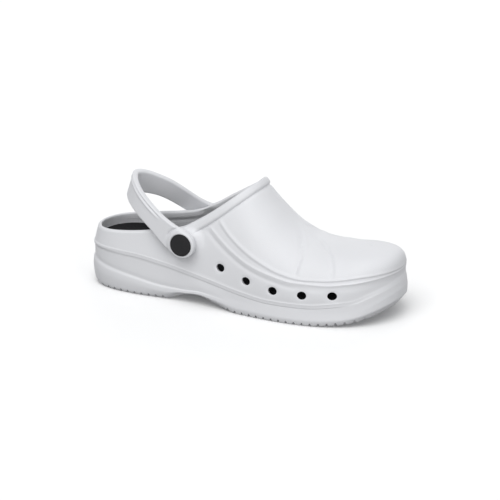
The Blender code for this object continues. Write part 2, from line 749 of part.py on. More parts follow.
def make_rivet(name, sign, parts, material):
    """Turned rivet: head outside the strap, shank through strap and wall, flange inside the shoe."""
    inner = PAD_INNER_FACE - GAP
    face = PAD_FACE + GAP + STRAP_THICK + BOSS_RAISE
    head = face - HEAD_SUNK + GAP
    top = head + HEAD_THICK
    bottom = inner - FLANGE_THICK
    profile = (
        (0.0, top), (HEAD_RADIUS * 0.6, top - HEAD_CROWN * 0.3), (HEAD_RADIUS - RIVET_EDGE, top - HEAD_CROWN),
        (HEAD_RADIUS, top - HEAD_CROWN - RIVET_EDGE), (HEAD_RADIUS, head), (SHANK_RADIUS, head),
        (SHANK_RADIUS, inner), (FLANGE_RADIUS, inner), (FLANGE_RADIUS, bottom + RIVET_EDGE),
        (FLANGE_RADIUS - RIVET_EDGE, bottom), (0.0, bottom))
    points = [(radius * MM, 0, height * MM) for radius, height in profile]
    mesh = bpy.data.meshes.new(name)
    mesh.from_pydata(points, [(i, i + 1) for i in range(len(points) - 1)], [])
    item = add_object(name, mesh, parts, material)
    screw = item.modifiers.new("turn", "SCREW")
    screw.steps = 24
    screw.render_steps = 24
    screw.use_merge_vertices = True
    screw.merge_threshold = 0.00001
    item.location = Vector(rivet_point(0.0)) * MM
    item.rotation_euler = (-sign * math.pi / 2, 0, 0)


def main():
    clear_scene()
    parts = bpy.data.collections.new("moulded_clog")
    cutters = bpy.data.collections.new("cutters")
    for collection in (parts, cutters):
        bpy.context.scene.collection.children.link(collection)
    white = make_material("white_foam", (0.86, 0.87, 0.88), 0.5)
    strap_white = make_material("strap_foam", (0.86, 0.87, 0.88), 0.5)
    charcoal = make_material("insole_cloth", (0.03, 0.03, 0.035), 0.9)
    black = make_material("rivet_plastic", (0.01, 0.01, 0.01), 0.4)
    make_moulding(parts, cutters, white)
    make_insole(parts, charcoal)
    make_strap(parts, cutters, strap_white)
    make_rivet("rivet_lateral", -1.0, parts, black)
    make_rivet("rivet_medial", 1.0, parts, black)


main()
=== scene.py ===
import math

import bmesh
import bpy
import numpy as np
from mathutils import Matrix, Vector


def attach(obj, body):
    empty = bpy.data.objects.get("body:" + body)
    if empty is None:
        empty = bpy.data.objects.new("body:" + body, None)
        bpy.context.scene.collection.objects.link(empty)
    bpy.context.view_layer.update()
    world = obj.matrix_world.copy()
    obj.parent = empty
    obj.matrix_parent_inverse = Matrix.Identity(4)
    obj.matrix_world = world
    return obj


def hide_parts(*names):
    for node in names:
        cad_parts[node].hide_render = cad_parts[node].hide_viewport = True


# White moulded clog with a heel strap. Lengths below are in millimetres, measured from the back
# of the heel along the shoe (station), to the inner side (+y) and up from the floor.
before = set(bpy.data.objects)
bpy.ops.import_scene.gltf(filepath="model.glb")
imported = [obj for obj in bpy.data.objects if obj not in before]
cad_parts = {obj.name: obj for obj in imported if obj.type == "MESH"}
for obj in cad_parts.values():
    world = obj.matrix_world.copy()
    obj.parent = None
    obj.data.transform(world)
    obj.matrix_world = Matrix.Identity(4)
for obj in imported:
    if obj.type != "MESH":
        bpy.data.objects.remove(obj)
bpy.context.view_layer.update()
print("frame loaded:", sorted(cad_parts))

mm = 0.001
halfLength = 145.0


# Small maths used by every piece

def tableColumn(table, index):
    return np.array([row[index] for row in table], float)


# Cubic between table points whose slope is the weighted harmonic mean of the spans beside it,
# and nought where they differ in sign, so it never overshoots.
def smoothLine(xs, ys, at):
    xs = np.asarray(xs, float)
    ys = np.asarray(ys, float)
    step = np.diff(xs)
    slope = np.diff(ys) / step
    left, right = slope[:-1], slope[1:]
    before = 2 * step[1:] + step[:-1]
    after = step[1:] + 2 * step[:-1]
    same = left * right > 0
    safeLeft = np.where(same, left, 1.0)
    safeRight = np.where(same, right, 1.0)
    middle = np.where(same, (before + after) / (before / safeLeft + after / safeRight), 0.0)
    tangent = np.concatenate([slope[:1], middle, slope[-1:]])
    at = np.asarray(at, float)
    i = np.clip(np.searchsorted(xs, at) - 1, 0, len(xs) - 2)
    t = (at - xs[i]) / step[i]
    start = (1 + 2 * t) * (1 - t) ** 2 * ys[i] + t * (1 - t) ** 2 * step[i] * tangent[i]
    end = t * t * (3 - 2 * t) * ys[i + 1] + t * t * (t - 1) * step[i] * tangent[i + 1]
    return start + end


# Cubic through a ring of plan points, with equal bend on both sides of each point.
def closedSpline(points, perSpan):
    points = np.asarray(points, float)
    span = np.linalg.norm(np.roll(points, -1, 0) - points, axis=1)
    last = np.roll(span, 1)
    eye = np.eye(len(points))
    matrix = (eye * (2 * (last + span))[:, None] + np.roll(eye, -1, 1) * last[:, None]
              + np.roll(eye, 1, 1) * span[:, None])
    chord = (np.roll(points, -1, 0) - points) / span[:, None]
    second = np.linalg.solve(matrix, 6 * (chord - np.roll(chord, 1, 0)))
    nextSecond = np.roll(second, -1, 0)
    first = chord - span[:, None] * (2 * second + nextSecond) / 6
    third = (nextSecond - second) / span[:, None]
    t = (np.arange(perSpan) / perSpan)[None, :, None] * span[:, None, None]
    curve = points[:, None] + t * (first[:, None] + t * (second[:, None] / 2 + t * third[:, None] / 6))
    return curve.reshape(-1, points.shape[1])


# Smooth line of one column of a table over its first column.
def tableCurve(table, index, at):
    return smoothLine(tableColumn(table, 0), tableColumn(table, index), at)


# Points at shares of a dense curve's length.
def byLength(curve, share):
    run = np.concatenate([[0], np.cumsum(np.linalg.norm(np.diff(curve, axis=0), axis=1))])
    return np.stack([np.interp(share, run / run[-1], axis) for axis in curve.T], -1)


# 0 before the first bound, 1 after the second, three squares less two cubes between.
def ramp(value, low, high):
    t = np.clip((np.asarray(value, float) - low) / (high - low), 0, 1)
    return t * t * (3 - 2 * t)


def unit(vectors):
    return vectors / np.maximum(np.linalg.norm(vectors, axis=-1, keepdims=True), 1e-9)


# Bell of height 1 at nought and of the given half width.
def bell(value, width):
    return np.exp(-(np.asarray(value) / width) ** 2)


# Form of the last, nearly the sizes of the solids
lastForm = {
    "toeShift": 6.0,
    "plan": (  # station, half width outside, half width inside
        (12, 27.0, 26.5), (42, 38.5, 38.0), (88, 40.5, 37.0), (135, 45.5, 40.5), (180, 51.5, 48.0),
        (215, 52.5, 52.5), (245, 47.0, 51.0), (268, 35.5, 43.5), (283, 19.0, 31.0)),
    "lines": (  # station, tread, heel crease, sole ridge, collar, footbed
        (0, 2.0, 26.0, 36.5, 52.0, 40.0), (20, 0.0, 22.5, 37.3, 53.0, 39.7),
        (55, 0.0, 17.0, 36.4, 57.0, 38.5), (85, 0.0, 12.5, 32.4, 63.0, 35.5),
        (105, 6.0, 12.0, 28.9, 69.0, 32.0), (120, 7.5, 13.0, 26.3, 77.5, 28.5),
        (135, 4.5, 12.0, 23.8, 88.0, 25.5), (160, 0.0, 9.0, 19.6, 108.0, 21.5),
        (190, 0.0, 8.0, 16.6, 132.0, 18.3), (220, 0.0, 8.0, 17.0, 156.0, 17.5),
        (250, 2.0, 10.0, 20.4, 180.0, 18.5), (263, 3.8, 13.0, 23.0, 190.8, 19.7),
        (272, 5.8, 17.0, 27.0, 198.0, 21.0), (290, 10.5, 26.0, 35.0, 212.0, 25.0)),
    "spine": (  # station, height, shift to the inner side
        (40, 250.0, 0.0), (90, 200.0, 0.5), (130, 144.0, 1.5), (160, 108.0, 2.0), (175, 90.0, 2.4),
        (195, 71.4, 3.0), (215, 62.2, 3.4), (235, 59.5, 3.7), (256, 59.9, 4.0)),
    "collarInside": (  # station, extra height of the collar on the inner side
        (0, 0.0), (85, 0.0), (105, 3.2), (120, 3.8), (133, 2.5), (150, 0.0), (290, 0.0)),
    "collarTurn": (5.0, 17.0),  # distances to the inner side over which it comes in
    "flank": (  # station, inward lean, roundness of the foot, roundness of the shoulder
        (0, 0.25, 2.2, 2.0), (40, 0.21, 2.2, 2.0), (105, 0.14, 2.2, 2.0), (150, 0.10, 2.2, 2.0),
        (180, 0.04, 2.2, 2.0), (210, 0.0, 2.3, 2.1), (250, 0.0, 2.5, 2.3), (275, 0.0, 3.5, 3.0),
        (290, 0.0, 4.5, 3.5)),
    # station, inset of the tread edge, depth of the heel crease, rise of the edge, depth under the ridge
    "soleSide": (
        (0, 5.5, 1.7, 3.0, 1.8), (20, 4.5, 1.4, 2.6, 1.8), (60, 3.5, 1.0, 2.4, 1.8),
        (105, 7.0, 0.7, 3.0, 1.8), (140, 4.5, 0.6, 2.0, 1.8), (160, 2.2, 0.6, 1.8, 1.8),
        (210, 1.8, 0.6, 1.7, 1.8), (250, 2.8, 0.6, 1.9, 1.6), (275, 6.0, 0.2, 3.4, 0.8),
        (290, 9.0, 0.0, 5.0, 0.9)),
    "focus": (40.0, 65.0, 105.0, 145.0, 190.0, 230.0, 256.0),  # spine stations the wall leans to
    "wall": 4.5, "wallInset": 1.8,
    "wallDrop": 25.0,  # length of wall that one radian below its foot stands for
    "ridgeHalf": 2.0, "ridgeInset": 0.9,
    "collarLip": 2.2,
    "bandDrop": (4.5, 10.0),  # width of the collar band at the heel and over the instep
    "bandStart": (75.0, 112.0),
    "bedRound": 3.0, "bedInset": 2.5,
}
lineNames = ("tread", "crease", "ridge", "collar", "footbed")


# Height of a line round the shoe: its column of the table, as a smooth line over the station.
def lineHeight(name, station):
    return tableCurve(lastForm["lines"], 1 + lineNames.index(name), station)


# Inset, crease, rise and depth of the sole's side at a station.
def soleSide(station):
    return [tableCurve(lastForm["soleSide"], i, station) for i in (1, 2, 3, 4)]


# Outer and inner half of the plan: a ring spline from the heel round the toe, cut at both.
def makeHalves():
    plan = lastForm["plan"]
    outside = [(s, -o) for s, o, i in plan]
    inside = [(s, i) for s, o, i in plan]
    tip = (2 * halfLength, lastForm["toeShift"])
    perSpan = 60
    loop = closedSpline([(0, 0)] + outside + [tip] + inside[::-1], perSpan)
    toe = perSpan * (len(plan) + 1)
    return loop[:toe + 1], np.concatenate([loop[toe:], loop[:1]])[::-1]


outerHalf, innerHalf = makeHalves()
evenShare = np.linspace(0, 1, 801)
middleStation = (byLength(outerHalf, evenShare)[:, 0] + byLength(innerHalf, evenShare)[:, 0]) / 2
focusShare = np.concatenate([[0], np.interp(lastForm["focus"][1:-1], middleStation, evenShare), [1]])


# Points in space from plan points and heights.
def raisePlan(plan, height):
    return np.concatenate([plan, height[..., None]], -1)


# A column of the wall: its foot on the plan, the unit way from there to its point of the spine.
def wallColumn(side, share):
    foot = np.where((side < 0)[..., None], byLength(outerHalf, share), byLength(innerHalf, share))
    station = smoothLine(focusShare, lastForm["focus"], share)
    shift = tableCurve(lastForm["spine"], 2, station)
    spine = np.stack([station, shift], -1)
    way = np.linalg.norm(spine - foot, axis=-1)
    return foot, (spine - foot) / way[..., None], way, spine


# Superellipse from the foot of the wall (angle 0) to the spine (a right angle), leaning inwards
# in step with its height; below 0 it runs straight down.
def flankPoint(side, share, angle, inside=0.0):
    foot, inward, way, spine = wallColumn(side, share)
    station = foot[..., 0]
    low = lineHeight("ridge", station) + lastForm["ridgeHalf"]
    high = tableCurve(lastForm["spine"], 1, spine[..., 0]) - inside
    lean, footRound, shoulder = (tableCurve(lastForm["flank"], i, station) for i in (1, 2, 3))
    up = np.maximum(angle, 0)
    shareIn = 1 - np.cos(up) ** (2 / shoulder)
    height = low + (high - low) * np.sin(up) ** (2 / footRound)
    height = height + lastForm["wallDrop"] * np.minimum(angle, 0)
    start = lastForm["wallInset"] + inside
    depth = start + (way - start) * shareIn + lean * (height - low) * (1 - shareIn)
    return raisePlan(foot + inward * depth[..., None], height)


# Angle at which each column first comes over a line, found by halving, or a right angle.
def findAngle(side, share, above, inside=0.0):
    low = np.full(len(share), -1.5)
    high = np.full(len(share), math.pi / 2)
    for halving in range(40):
        middle = (low + high) / 2
        over = above(flankPoint(side, share, middle, inside))
        high = np.where(over, middle, high)
        low = np.where(over, low, middle)
    return np.where(high > math.pi / 2 - 1e-7, math.pi / 2, (low + high) / 2)


# How far under the collar its lip and its band end.
def lipDrop(station):
    return lastForm["collarLip"]


def bandDrop(station):
    low, high = lastForm["bandDrop"]
    return low + (high - low) * ramp(station, *lastForm["bandStart"])


# The collar's line, raised on the inner side.
def collarHeight(station, across):
    extra = tableCurve(lastForm["collarInside"], 1, station)
    return lineHeight("collar", station) + extra * ramp(across, *lastForm["collarTurn"])


# Test for points that are over the line a given drop under the collar.
def underCollar(drop):
    return lambda p: p[..., 2] > collarHeight(p[..., 0], p[..., 1]) - drop(p[..., 0])


# Share of the way round at which a line under the collar reaches the spine.
def spineShare(drop, inside=0.0):
    share = np.linspace(0.3, 0.8, 8001)
    crest = flankPoint(-np.ones(len(share)), share, np.full(len(share), math.pi / 2), inside)
    return share[np.argmax(~underCollar(drop)(crest))]


# Outward unit normal of the flank: the cross product of small steps along the wall and up it.
def flankNormal(side, share, angle, inside=0.0):
    step, tilt = 0.0015, 0.004
    along = (flankPoint(side, np.minimum(share + step, 1), angle, inside)
             - flankPoint(side, np.maximum(share - step, 0), angle, inside))
    upward = (flankPoint(side, share, np.minimum(angle + tilt, math.pi / 2), inside)
              - flankPoint(side, share, angle - tilt, inside))
    return unit(np.cross(along, upward)) * -side[..., None]


# Distance on the skin from the line where a value is nought: the value over its slope along the
# skin, which is its slope in space less the part that points along the normal.
def skinDistance(value, slope, normal):
    slope = np.stack(np.broadcast_arrays(*slope, value)[:3], -1)
    along = slope - (slope * normal).sum(-1, keepdims=True) * normal
    return value / np.maximum(np.linalg.norm(along, axis=-1), 0.1)


# Mesh from points and faces, with values for its points. Points that meet are merged, or left.
def meshFrom(name, points, faces, values=None, merge=0.0):
    mesh = bpy.data.meshes.new(name)
    mesh.from_pydata(((points.reshape(-1, 3) - (halfLength, 0, 0)) * mm).tolist(), [], faces)
    for title, value in (values or {}).items():
        kind, field = ("FLOAT_VECTOR", "vector") if value.ndim == 3 else ("FLOAT", "value")
        layer = mesh.attributes.new(title, kind, "POINT")
        layer.data.foreach_set(field, value.astype(np.float32).ravel())
    work = bmesh.new()
    work.from_mesh(mesh)
    if merge:
        bmesh.ops.remove_doubles(work, verts=work.verts, dist=merge * mm)
        loose = [v for v in work.verts if not v.link_faces]
        bmesh.ops.delete(work, geom=loose, context="VERTS")
    bmesh.ops.recalc_face_normals(work, faces=work.faces)
    work.to_mesh(mesh)
    work.free()
    return mesh


# Numbers of the points, and the quads between each ring of them and the next.
def ringQuads(points):
    index = np.arange(points.size // 3).reshape(points.shape[:-1])
    right = np.roll(index, -1, -1)
    low, high = np.s_[..., :-1, :], np.s_[..., 1:, :]
    return index, np.stack([index[low], right[low], right[high], index[high]], -1)


# Mesh from a grid of points whose columns close into a ring. Rows and columns may fold onto each
# other: such points are merged, and faces without area fall away.
def gridMesh(name, points, keep=None, values=None, capEnds=False):
    index, quads = ringQuads(points)
    faces = (quads.reshape(-1, 4) if keep is None else quads[keep]).tolist()
    if capEnds:
        faces += [index[0, ::-1].tolist(), index[-1].tolist()]
    mesh = meshFrom(name, points, faces, values, merge=0.015)
    mesh.shade_smooth()
    return mesh


def addObject(name, data):
    item = bpy.data.objects.new(name, data)
    bpy.context.scene.collection.objects.link(item)
    return item


def addPiece(name, mesh, material, body, node):
    piece = addObject(name, mesh)
    mesh.materials.clear()
    mesh.materials.append(material)
    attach(piece, body)
    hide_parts(node)
    return piece


# Takes the closed shapes of a cutter out of a piece and keeps the result as a plain mesh.
def cutPiece(piece, cutter, sharp=40):
    modifier = piece.modifiers.new("cut", "BOOLEAN")
    modifier.object = cutter
    modifier.operation = "DIFFERENCE"
    modifier.solver = "EXACT"
    graph = bpy.context.evaluated_depsgraph_get()
    mesh = bpy.data.meshes.new_from_object(piece.evaluated_get(graph), preserve_all_data_layers=True,
                                           depsgraph=graph)
    piece.modifiers.clear()
    piece.data = mesh
    mesh.set_sharp_from_angle(angle=math.radians(sharp))
    bpy.data.objects.remove(cutter)


# Closed bars with a ring at each end, wider at the start than at the end by the taper.
def barsMesh(name, starts, ends, first, second, sides, taper=0.0):
    turn = np.arange(sides) * 2 * math.pi / sides
    ring = np.cos(turn)[:, None] * first[:, None] + np.sin(turn)[:, None] * second[:, None]
    rings = [starts[:, None] + ring * (1 + taper), ends[:, None] + ring * (1 - taper)]
    return cutterFrom(name, np.stack(rings, 1))


# Closed bars from rings of points, any number of rings to a bar, with both ends capped.
def cutterFrom(name, points):
    index, quads = ringQuads(points)
    faces = quads.reshape(-1, 4).tolist() + index[:, 0, ::-1].tolist() + index[:, -1].tolist()
    return addObject(name, meshFrom(name, points, faces))


# Materials

def newMaterial(name, colour, roughness, specular):
    material = bpy.data.materials.new(name)
    material.use_nodes = True
    shader = material.node_tree.nodes["Principled BSDF"]
    shader.inputs["Base Color"].default_value = (*colour, 1)
    shader.inputs["Roughness"].default_value = roughness
    shader.inputs["Specular IOR Level"].default_value = specular
    return material, material.node_tree, shader


# Shader node with its sockets, or else its own settings, set by name.
def addNode(tree, kind, place, **settings):
    node = tree.nodes.new(kind)
    node.location = place
    for key, value in settings.items():
        if key in node.inputs:
            node.inputs[key].default_value = value
        else:
            setattr(node, key, value)
    return node


def mathNode(tree, operation, place, first, second):
    node = addNode(tree, "ShaderNodeMath", place, operation=operation)
    for socket, value in zip(node.inputs, (first, second)):
        if isinstance(value, (int, float)):
            socket.default_value = value
        else:
            tree.links.new(value, socket)
    return node.outputs["Value"]


# Noise over the piece's own coordinates.
def addNoise(tree, spot, place, scale, detail):
    noise = addNode(tree, "ShaderNodeTexNoise", place, Scale=scale, Detail=detail)
    tree.links.new(spot.outputs["Object"], noise.inputs["Vector"])
    return noise


# Bump on the shader's normal, from a height in shares of the distance in metres.
def addBump(tree, shader, height, place, distance=1.0):
    bump = addNode(tree, "ShaderNodeBump", place, Strength=1.0, Distance=distance)
    tree.links.new(height, bump.inputs["Height"])
    tree.links.new(bump.outputs["Normal"], shader.inputs["Normal"])


def mixColours(tree, shader, first, second, share, place):
    mix = addNode(tree, "ShaderNodeMix", place, data_type="RGBA")
    mix.inputs["A"].default_value = (*first, 1)
    mix.inputs["B"].default_value = (*second, 1)
    tree.links.new(share, mix.inputs["Factor"])
    tree.links.new(mix.outputs["Result"], shader.inputs["Base Color"])


foamLook = {
    "colour": (0.705, 0.71, 0.73),
    "shade": (0.675, 0.68, 0.703),  # the colour drifts between these two
    "driftScale": 18.0,
    "roughness": 0.50, "roughDrift": (-0.05, 0.06), "specular": 0.35,
    "pebbleScale": 900.0,  # cells of the vamp panel's grain per metre
    "pebbleDepth": 0.000028,
    "pebbleEdge": 0.22,  # share of a cell over which its edge is rounded
    "pebbleBend": (500.0, (0.0012, 0.0012, 0.0012)),  # scale and reach of the noise that bends the cells
    "skinScale": 2600.0,  # fine skin all over
    "skinDepth": 0.000008,
    "dotPitch": 0.0019,  # dots of the lining
    "dotDepth": 0.0001,
    "dotEdge": (0.42, 0.18),  # radii of a dot's foot and top, in pitches
}


# Foam skin: fine noise all over, cells of leather grain where the panel value is 1, and round
# dots in rows inside the shoe. The three heights are added and drive one bump.
def makeFoam(name):
    look = foamLook
    material, tree, shader = newMaterial(name, look["colour"], look["roughness"], look["specular"])
    link = tree.links.new
    place = addNode(tree, "ShaderNodeTexCoord", (-1500, 0))
    bendScale, bendReach = look["pebbleBend"]
    skin = addNoise(tree, place, (-1200, 300), look["skinScale"], 3.0)
    cells = addNode(tree, "ShaderNodeTexVoronoi", (-1200, 0), Scale=look["pebbleScale"],
                    feature="DISTANCE_TO_EDGE")
    warp = addNoise(tree, place, (-1400, -200), bendScale, 2.0)
    bend = addNode(tree, "ShaderNodeVectorMath", (-1300, -50), operation="MULTIPLY_ADD")
    bend.inputs[1].default_value = bendReach
    link(warp.outputs["Color"], bend.inputs[0])
    link(place.outputs["Object"], bend.inputs[2])
    link(bend.outputs[0], cells.inputs["Vector"])
    panel, lining, within = (addNode(tree, "ShaderNodeAttribute", (-1200, low), attribute_name=title)
                             for title, low in (("panel", -300), ("lining", -500), ("within", -700)))
    pebble = addNode(tree, "ShaderNodeMapRange", (-950, 0), interpolation_type="SMOOTHSTEP")
    pebble.inputs["From Max"].default_value = look["pebbleEdge"]
    link(cells.outputs["Distance"], pebble.inputs["Value"])
    dots = addNode(tree, "ShaderNodeTexVoronoi", (-950, -500), Scale=1 / look["dotPitch"], Randomness=0.0,
                   voronoi_dimensions="2D")
    link(lining.outputs["Vector"], dots.inputs["Vector"])
    dot = addNode(tree, "ShaderNodeMapRange", (-750, -500), interpolation_type="SMOOTHSTEP")
    dot.inputs["From Min"].default_value, dot.inputs["From Max"].default_value = look["dotEdge"]
    link(dots.outputs["Distance"], dot.inputs["Value"])
    grain = mathNode(tree, "MULTIPLY", (-700, 0), pebble.outputs["Result"], panel.outputs["Fac"])
    grain = mathNode(tree, "MULTIPLY", (-550, 0), grain, look["pebbleDepth"])
    fine = mathNode(tree, "MULTIPLY", (-700, 300), skin.outputs["Fac"], look["skinDepth"])
    inner = mathNode(tree, "MULTIPLY", (-550, -500), dot.outputs["Result"], within.outputs["Fac"])
    inner = mathNode(tree, "MULTIPLY", (-400, -500), inner, look["dotDepth"])
    height = mathNode(tree, "ADD", (-400, 150), grain, fine)
    height = mathNode(tree, "ADD", (-250, 0), height, inner)
    addBump(tree, shader, height, (-100, -100))
    tone = addNoise(tree, place, (-700, 600), look["driftScale"], 4.0)
    rough = addNode(tree, "ShaderNodeMapRange", (-500, 600))
    for title, drift in zip(("To Min", "To Max"), look["roughDrift"]):
        rough.inputs[title].default_value = look["roughness"] + drift
    link(tone.outputs["Fac"], rough.inputs["Value"])
    link(rough.outputs["Result"], shader.inputs["Roughness"])
    mixColours(tree, shader, look["colour"], look["shade"], tone.outputs["Fac"], (-300, 800))
    return material


clothLook = {
    "dark": (0.0035, 0.0035, 0.0042), "light": (0.012, 0.012, 0.014),
    "roughness": 0.92, "specular": 0.2, "sheen": 0.015,
    "threads": 900.0, "wander": 1.5,  # threads per metre, and how far they stray
    "fuzzScale": 1500.0, "depth": 0.00035,
}


# Brushed cloth: two crossed waves make the weave, noise mixes two dark greys.
def makeCloth(name):
    look = clothLook
    material, tree, shader = newMaterial(name, look["dark"], look["roughness"], look["specular"])
    place = addNode(tree, "ShaderNodeTexCoord", (-1200, 0))
    warp, weft = (addNode(tree, "ShaderNodeTexWave", (-900, high), Scale=look["threads"] / 3,
                          Distortion=look["wander"], bands_direction=way)
                  for high, way in ((200, "X"), (-100, "Y")))
    fuzz = addNoise(tree, place, (-900, -400), look["fuzzScale"], 4.0)
    for node in (warp, weft):
        tree.links.new(place.outputs["Object"], node.inputs["Vector"])
    weave = mathNode(tree, "MULTIPLY", (-650, 100), warp.outputs["Fac"], weft.outputs["Fac"])
    nap = mathNode(tree, "ADD", (-500, 0), weave, fuzz.outputs["Fac"])
    height = mathNode(tree, "MULTIPLY", (-350, -100), nap, look["depth"])
    addBump(tree, shader, height, (-200, -200))
    mixColours(tree, shader, look["dark"], look["light"], fuzz.outputs["Fac"], (-300, 300))
    shader.inputs["Sheen Weight"].default_value = look["sheen"]
    return material


rivetLook = {"colour": (0.007, 0.007, 0.008), "roughness": 0.4, "specular": 0.25, "grain": 1800.0,
             "depth": 0.00003}


# Satin plastic with a fine spark-eroded skin.
def makeRivetPlastic(name):
    look = rivetLook
    material, tree, shader = newMaterial(name, look["colour"], look["roughness"], look["specular"])
    place = addNode(tree, "ShaderNodeTexCoord", (-900, 0))
    noise = addNoise(tree, place, (-650, 0), look["grain"], 3.0)
    addBump(tree, shader, noise.outputs["Fac"], (-250, -150), look["depth"])
    return material


foam = makeFoam("moulded_foam")
strapFoam = makeFoam("strap_foam_skin")
cloth = makeCloth("insole_cloth_weave")
rivetPlastic = makeRivetPlastic("rivet_satin")
print("materials ready")


# Rivets and strap
rivetForm = {
    "station": 106.0, "height": 54.6, "middle": -2.0,
    "padFace": 39.0, "padRadius": 10.4, "padFade": 19.0,
    "innerFace": 29.0, "innerRadius": 9.2, "innerFade": 15.0,
    "padTop": (61.5, 69.0),  # heights over which the seats run out under the collar
    "headRadius": 9.6, "headThick": 2.3, "headSunk": 1.0, "crown": 0.5, "edge": 0.6,
    "rimLine": (0.12, 1.6, 0.25),  # depth, distance from the edge and width of the line round the head
    "shankRadius": 4.0, "flangeRadius": 7.5, "flangeThick": 1.6, "gap": 0.3,
    "segments": 96,
}
strapForm = {
    "lift": 28.8, "heelLean": 18.0, "twistFrom": 40.0, "thickness": 5.2,
    "plan": ((0.0, 41.9), (11.0, 41.6), (28.0, 37.2), (46.0, 30.1), (62.0, 20.8), (71.0, 12.1)),
    "reach": 76.3,
    "band": (  # distance from the rivet, upper half width, lower half width
        (0, 12.2, 12.2), (14, 10.6, 10.8), (34, 8.8, 8.8), (60, 9.2, 9.2), (88, 10.8, 10.6),
        (300, 10.8, 10.6)),
    "bossRadius": 12.2, "bossRaise": 0.8, "bossStep": (12.4, 13.6),
    "seatLip": 0.35, "lipStart": (9.6, 10.1), "lipEnd": (10.9, 11.8), "seatReach": 8.0,
    "edgeRound": 1.5, "tip": 0.35,
    "rimRaise": 0.45, "rimEdge": (1.2, 2.4), "rimFade": (26.0, 42.0),
    "rimGroove": (2.3, 0.8, 0.75), "rimBead": (4.2, 0.55, 1.0),  # place, depth and width
    "bossCrease": (14.5, 1.1, 0.9),  # place, depth and width of the crease round the boss
    "creaseSide": (-5.0, 3.0),  # it comes in over this part of the band's width
    "farSpread": 3.0,  # the inner arm stands out by this much, clear of the collar
    "farTrim": 1.2,  # and is lower by this much along its upper edge
    "farDrop": (5.6, 5.0, 20.0, 64.0),  # it hangs this much lower, coming in and ending at these distances
}
rivetCentre = np.array([rivetForm["station"], rivetForm["middle"], rivetForm["height"]])
bossFace = rivetForm["padFace"] + rivetForm["gap"] + strapForm["thickness"] + strapForm["bossRaise"]


# Profile of radius and height carried round the axis: head with a low crown and a fine rim line,
# shank, and the flange inside the shoe.
def makeRivet(name, sign, node):
    form = rivetForm
    inner = form["innerFace"] - form["gap"]
    head = bossFace - form["headSunk"] + form["gap"]
    top = head + form["headThick"]
    bottom = inner - form["flangeThick"]
    edge, wide = form["edge"], form["headRadius"]
    turn = np.radians(np.arange(0, 91, 15))
    dome = np.linspace(0, wide - edge, 28)
    depth, place, width = form["rimLine"]
    domeHeight = (top - form["crown"] * (dome / (wide - edge)) ** 2
                  - depth * bell(dome - (wide - place), width))
    roundHead = np.stack([wide - edge + edge * np.sin(turn),
                          top - form["crown"] - edge + edge * np.cos(turn)], 1)
    shank, flange = form["shankRadius"], form["flangeRadius"]
    neck = np.array([(wide, head), (wide - 0.2, head), (shank, head), (shank, inner),
                     (flange - 0.1, inner), (flange, inner - 0.1)])
    roundFlange = np.stack([flange - edge + edge * np.cos(turn), bottom + edge - edge * np.sin(turn)], 1)
    disc = np.stack([np.linspace(flange - edge, 0, 10)[1:], np.full(9, bottom)], 1)
    profile = np.concatenate([np.stack([dome, domeHeight], 1), roundHead[1:], neck, roundFlange[1:], disc])
    angle = np.arange(form["segments"]) * 2 * math.pi / form["segments"]
    radius, height = profile[:, :1], profile[:, 1:]
    points = np.stack([radius * np.cos(angle), sign * height + 0 * angle, radius * np.sin(angle)], -1)
    mesh = gridMesh(name, points + rivetCentre)
    piece = addPiece(name, mesh, rivetPlastic, "clog", node)
    piece.data.set_sharp_from_angle(angle=math.radians(50))


# Middle line of the strap in its own plane: a ring spline through the plan, cut off at the rivets.
def strapPath():
    perSpan = 120
    arm = [(r, -h) for r, h in strapForm["plan"]]
    loop = arm + [(strapForm["reach"], 0.0)] + [(r, -h) for r, h in arm[::-1]]
    ahead = -40.0
    dense = closedSpline([(ahead, arm[0][1])] + loop + [(ahead, -arm[0][1])], perSpan)
    run = dense[perSpan:perSpan * len(loop) + 1]
    return run, np.concatenate([[0], np.cumsum(np.linalg.norm(np.diff(run, axis=0), axis=1))])


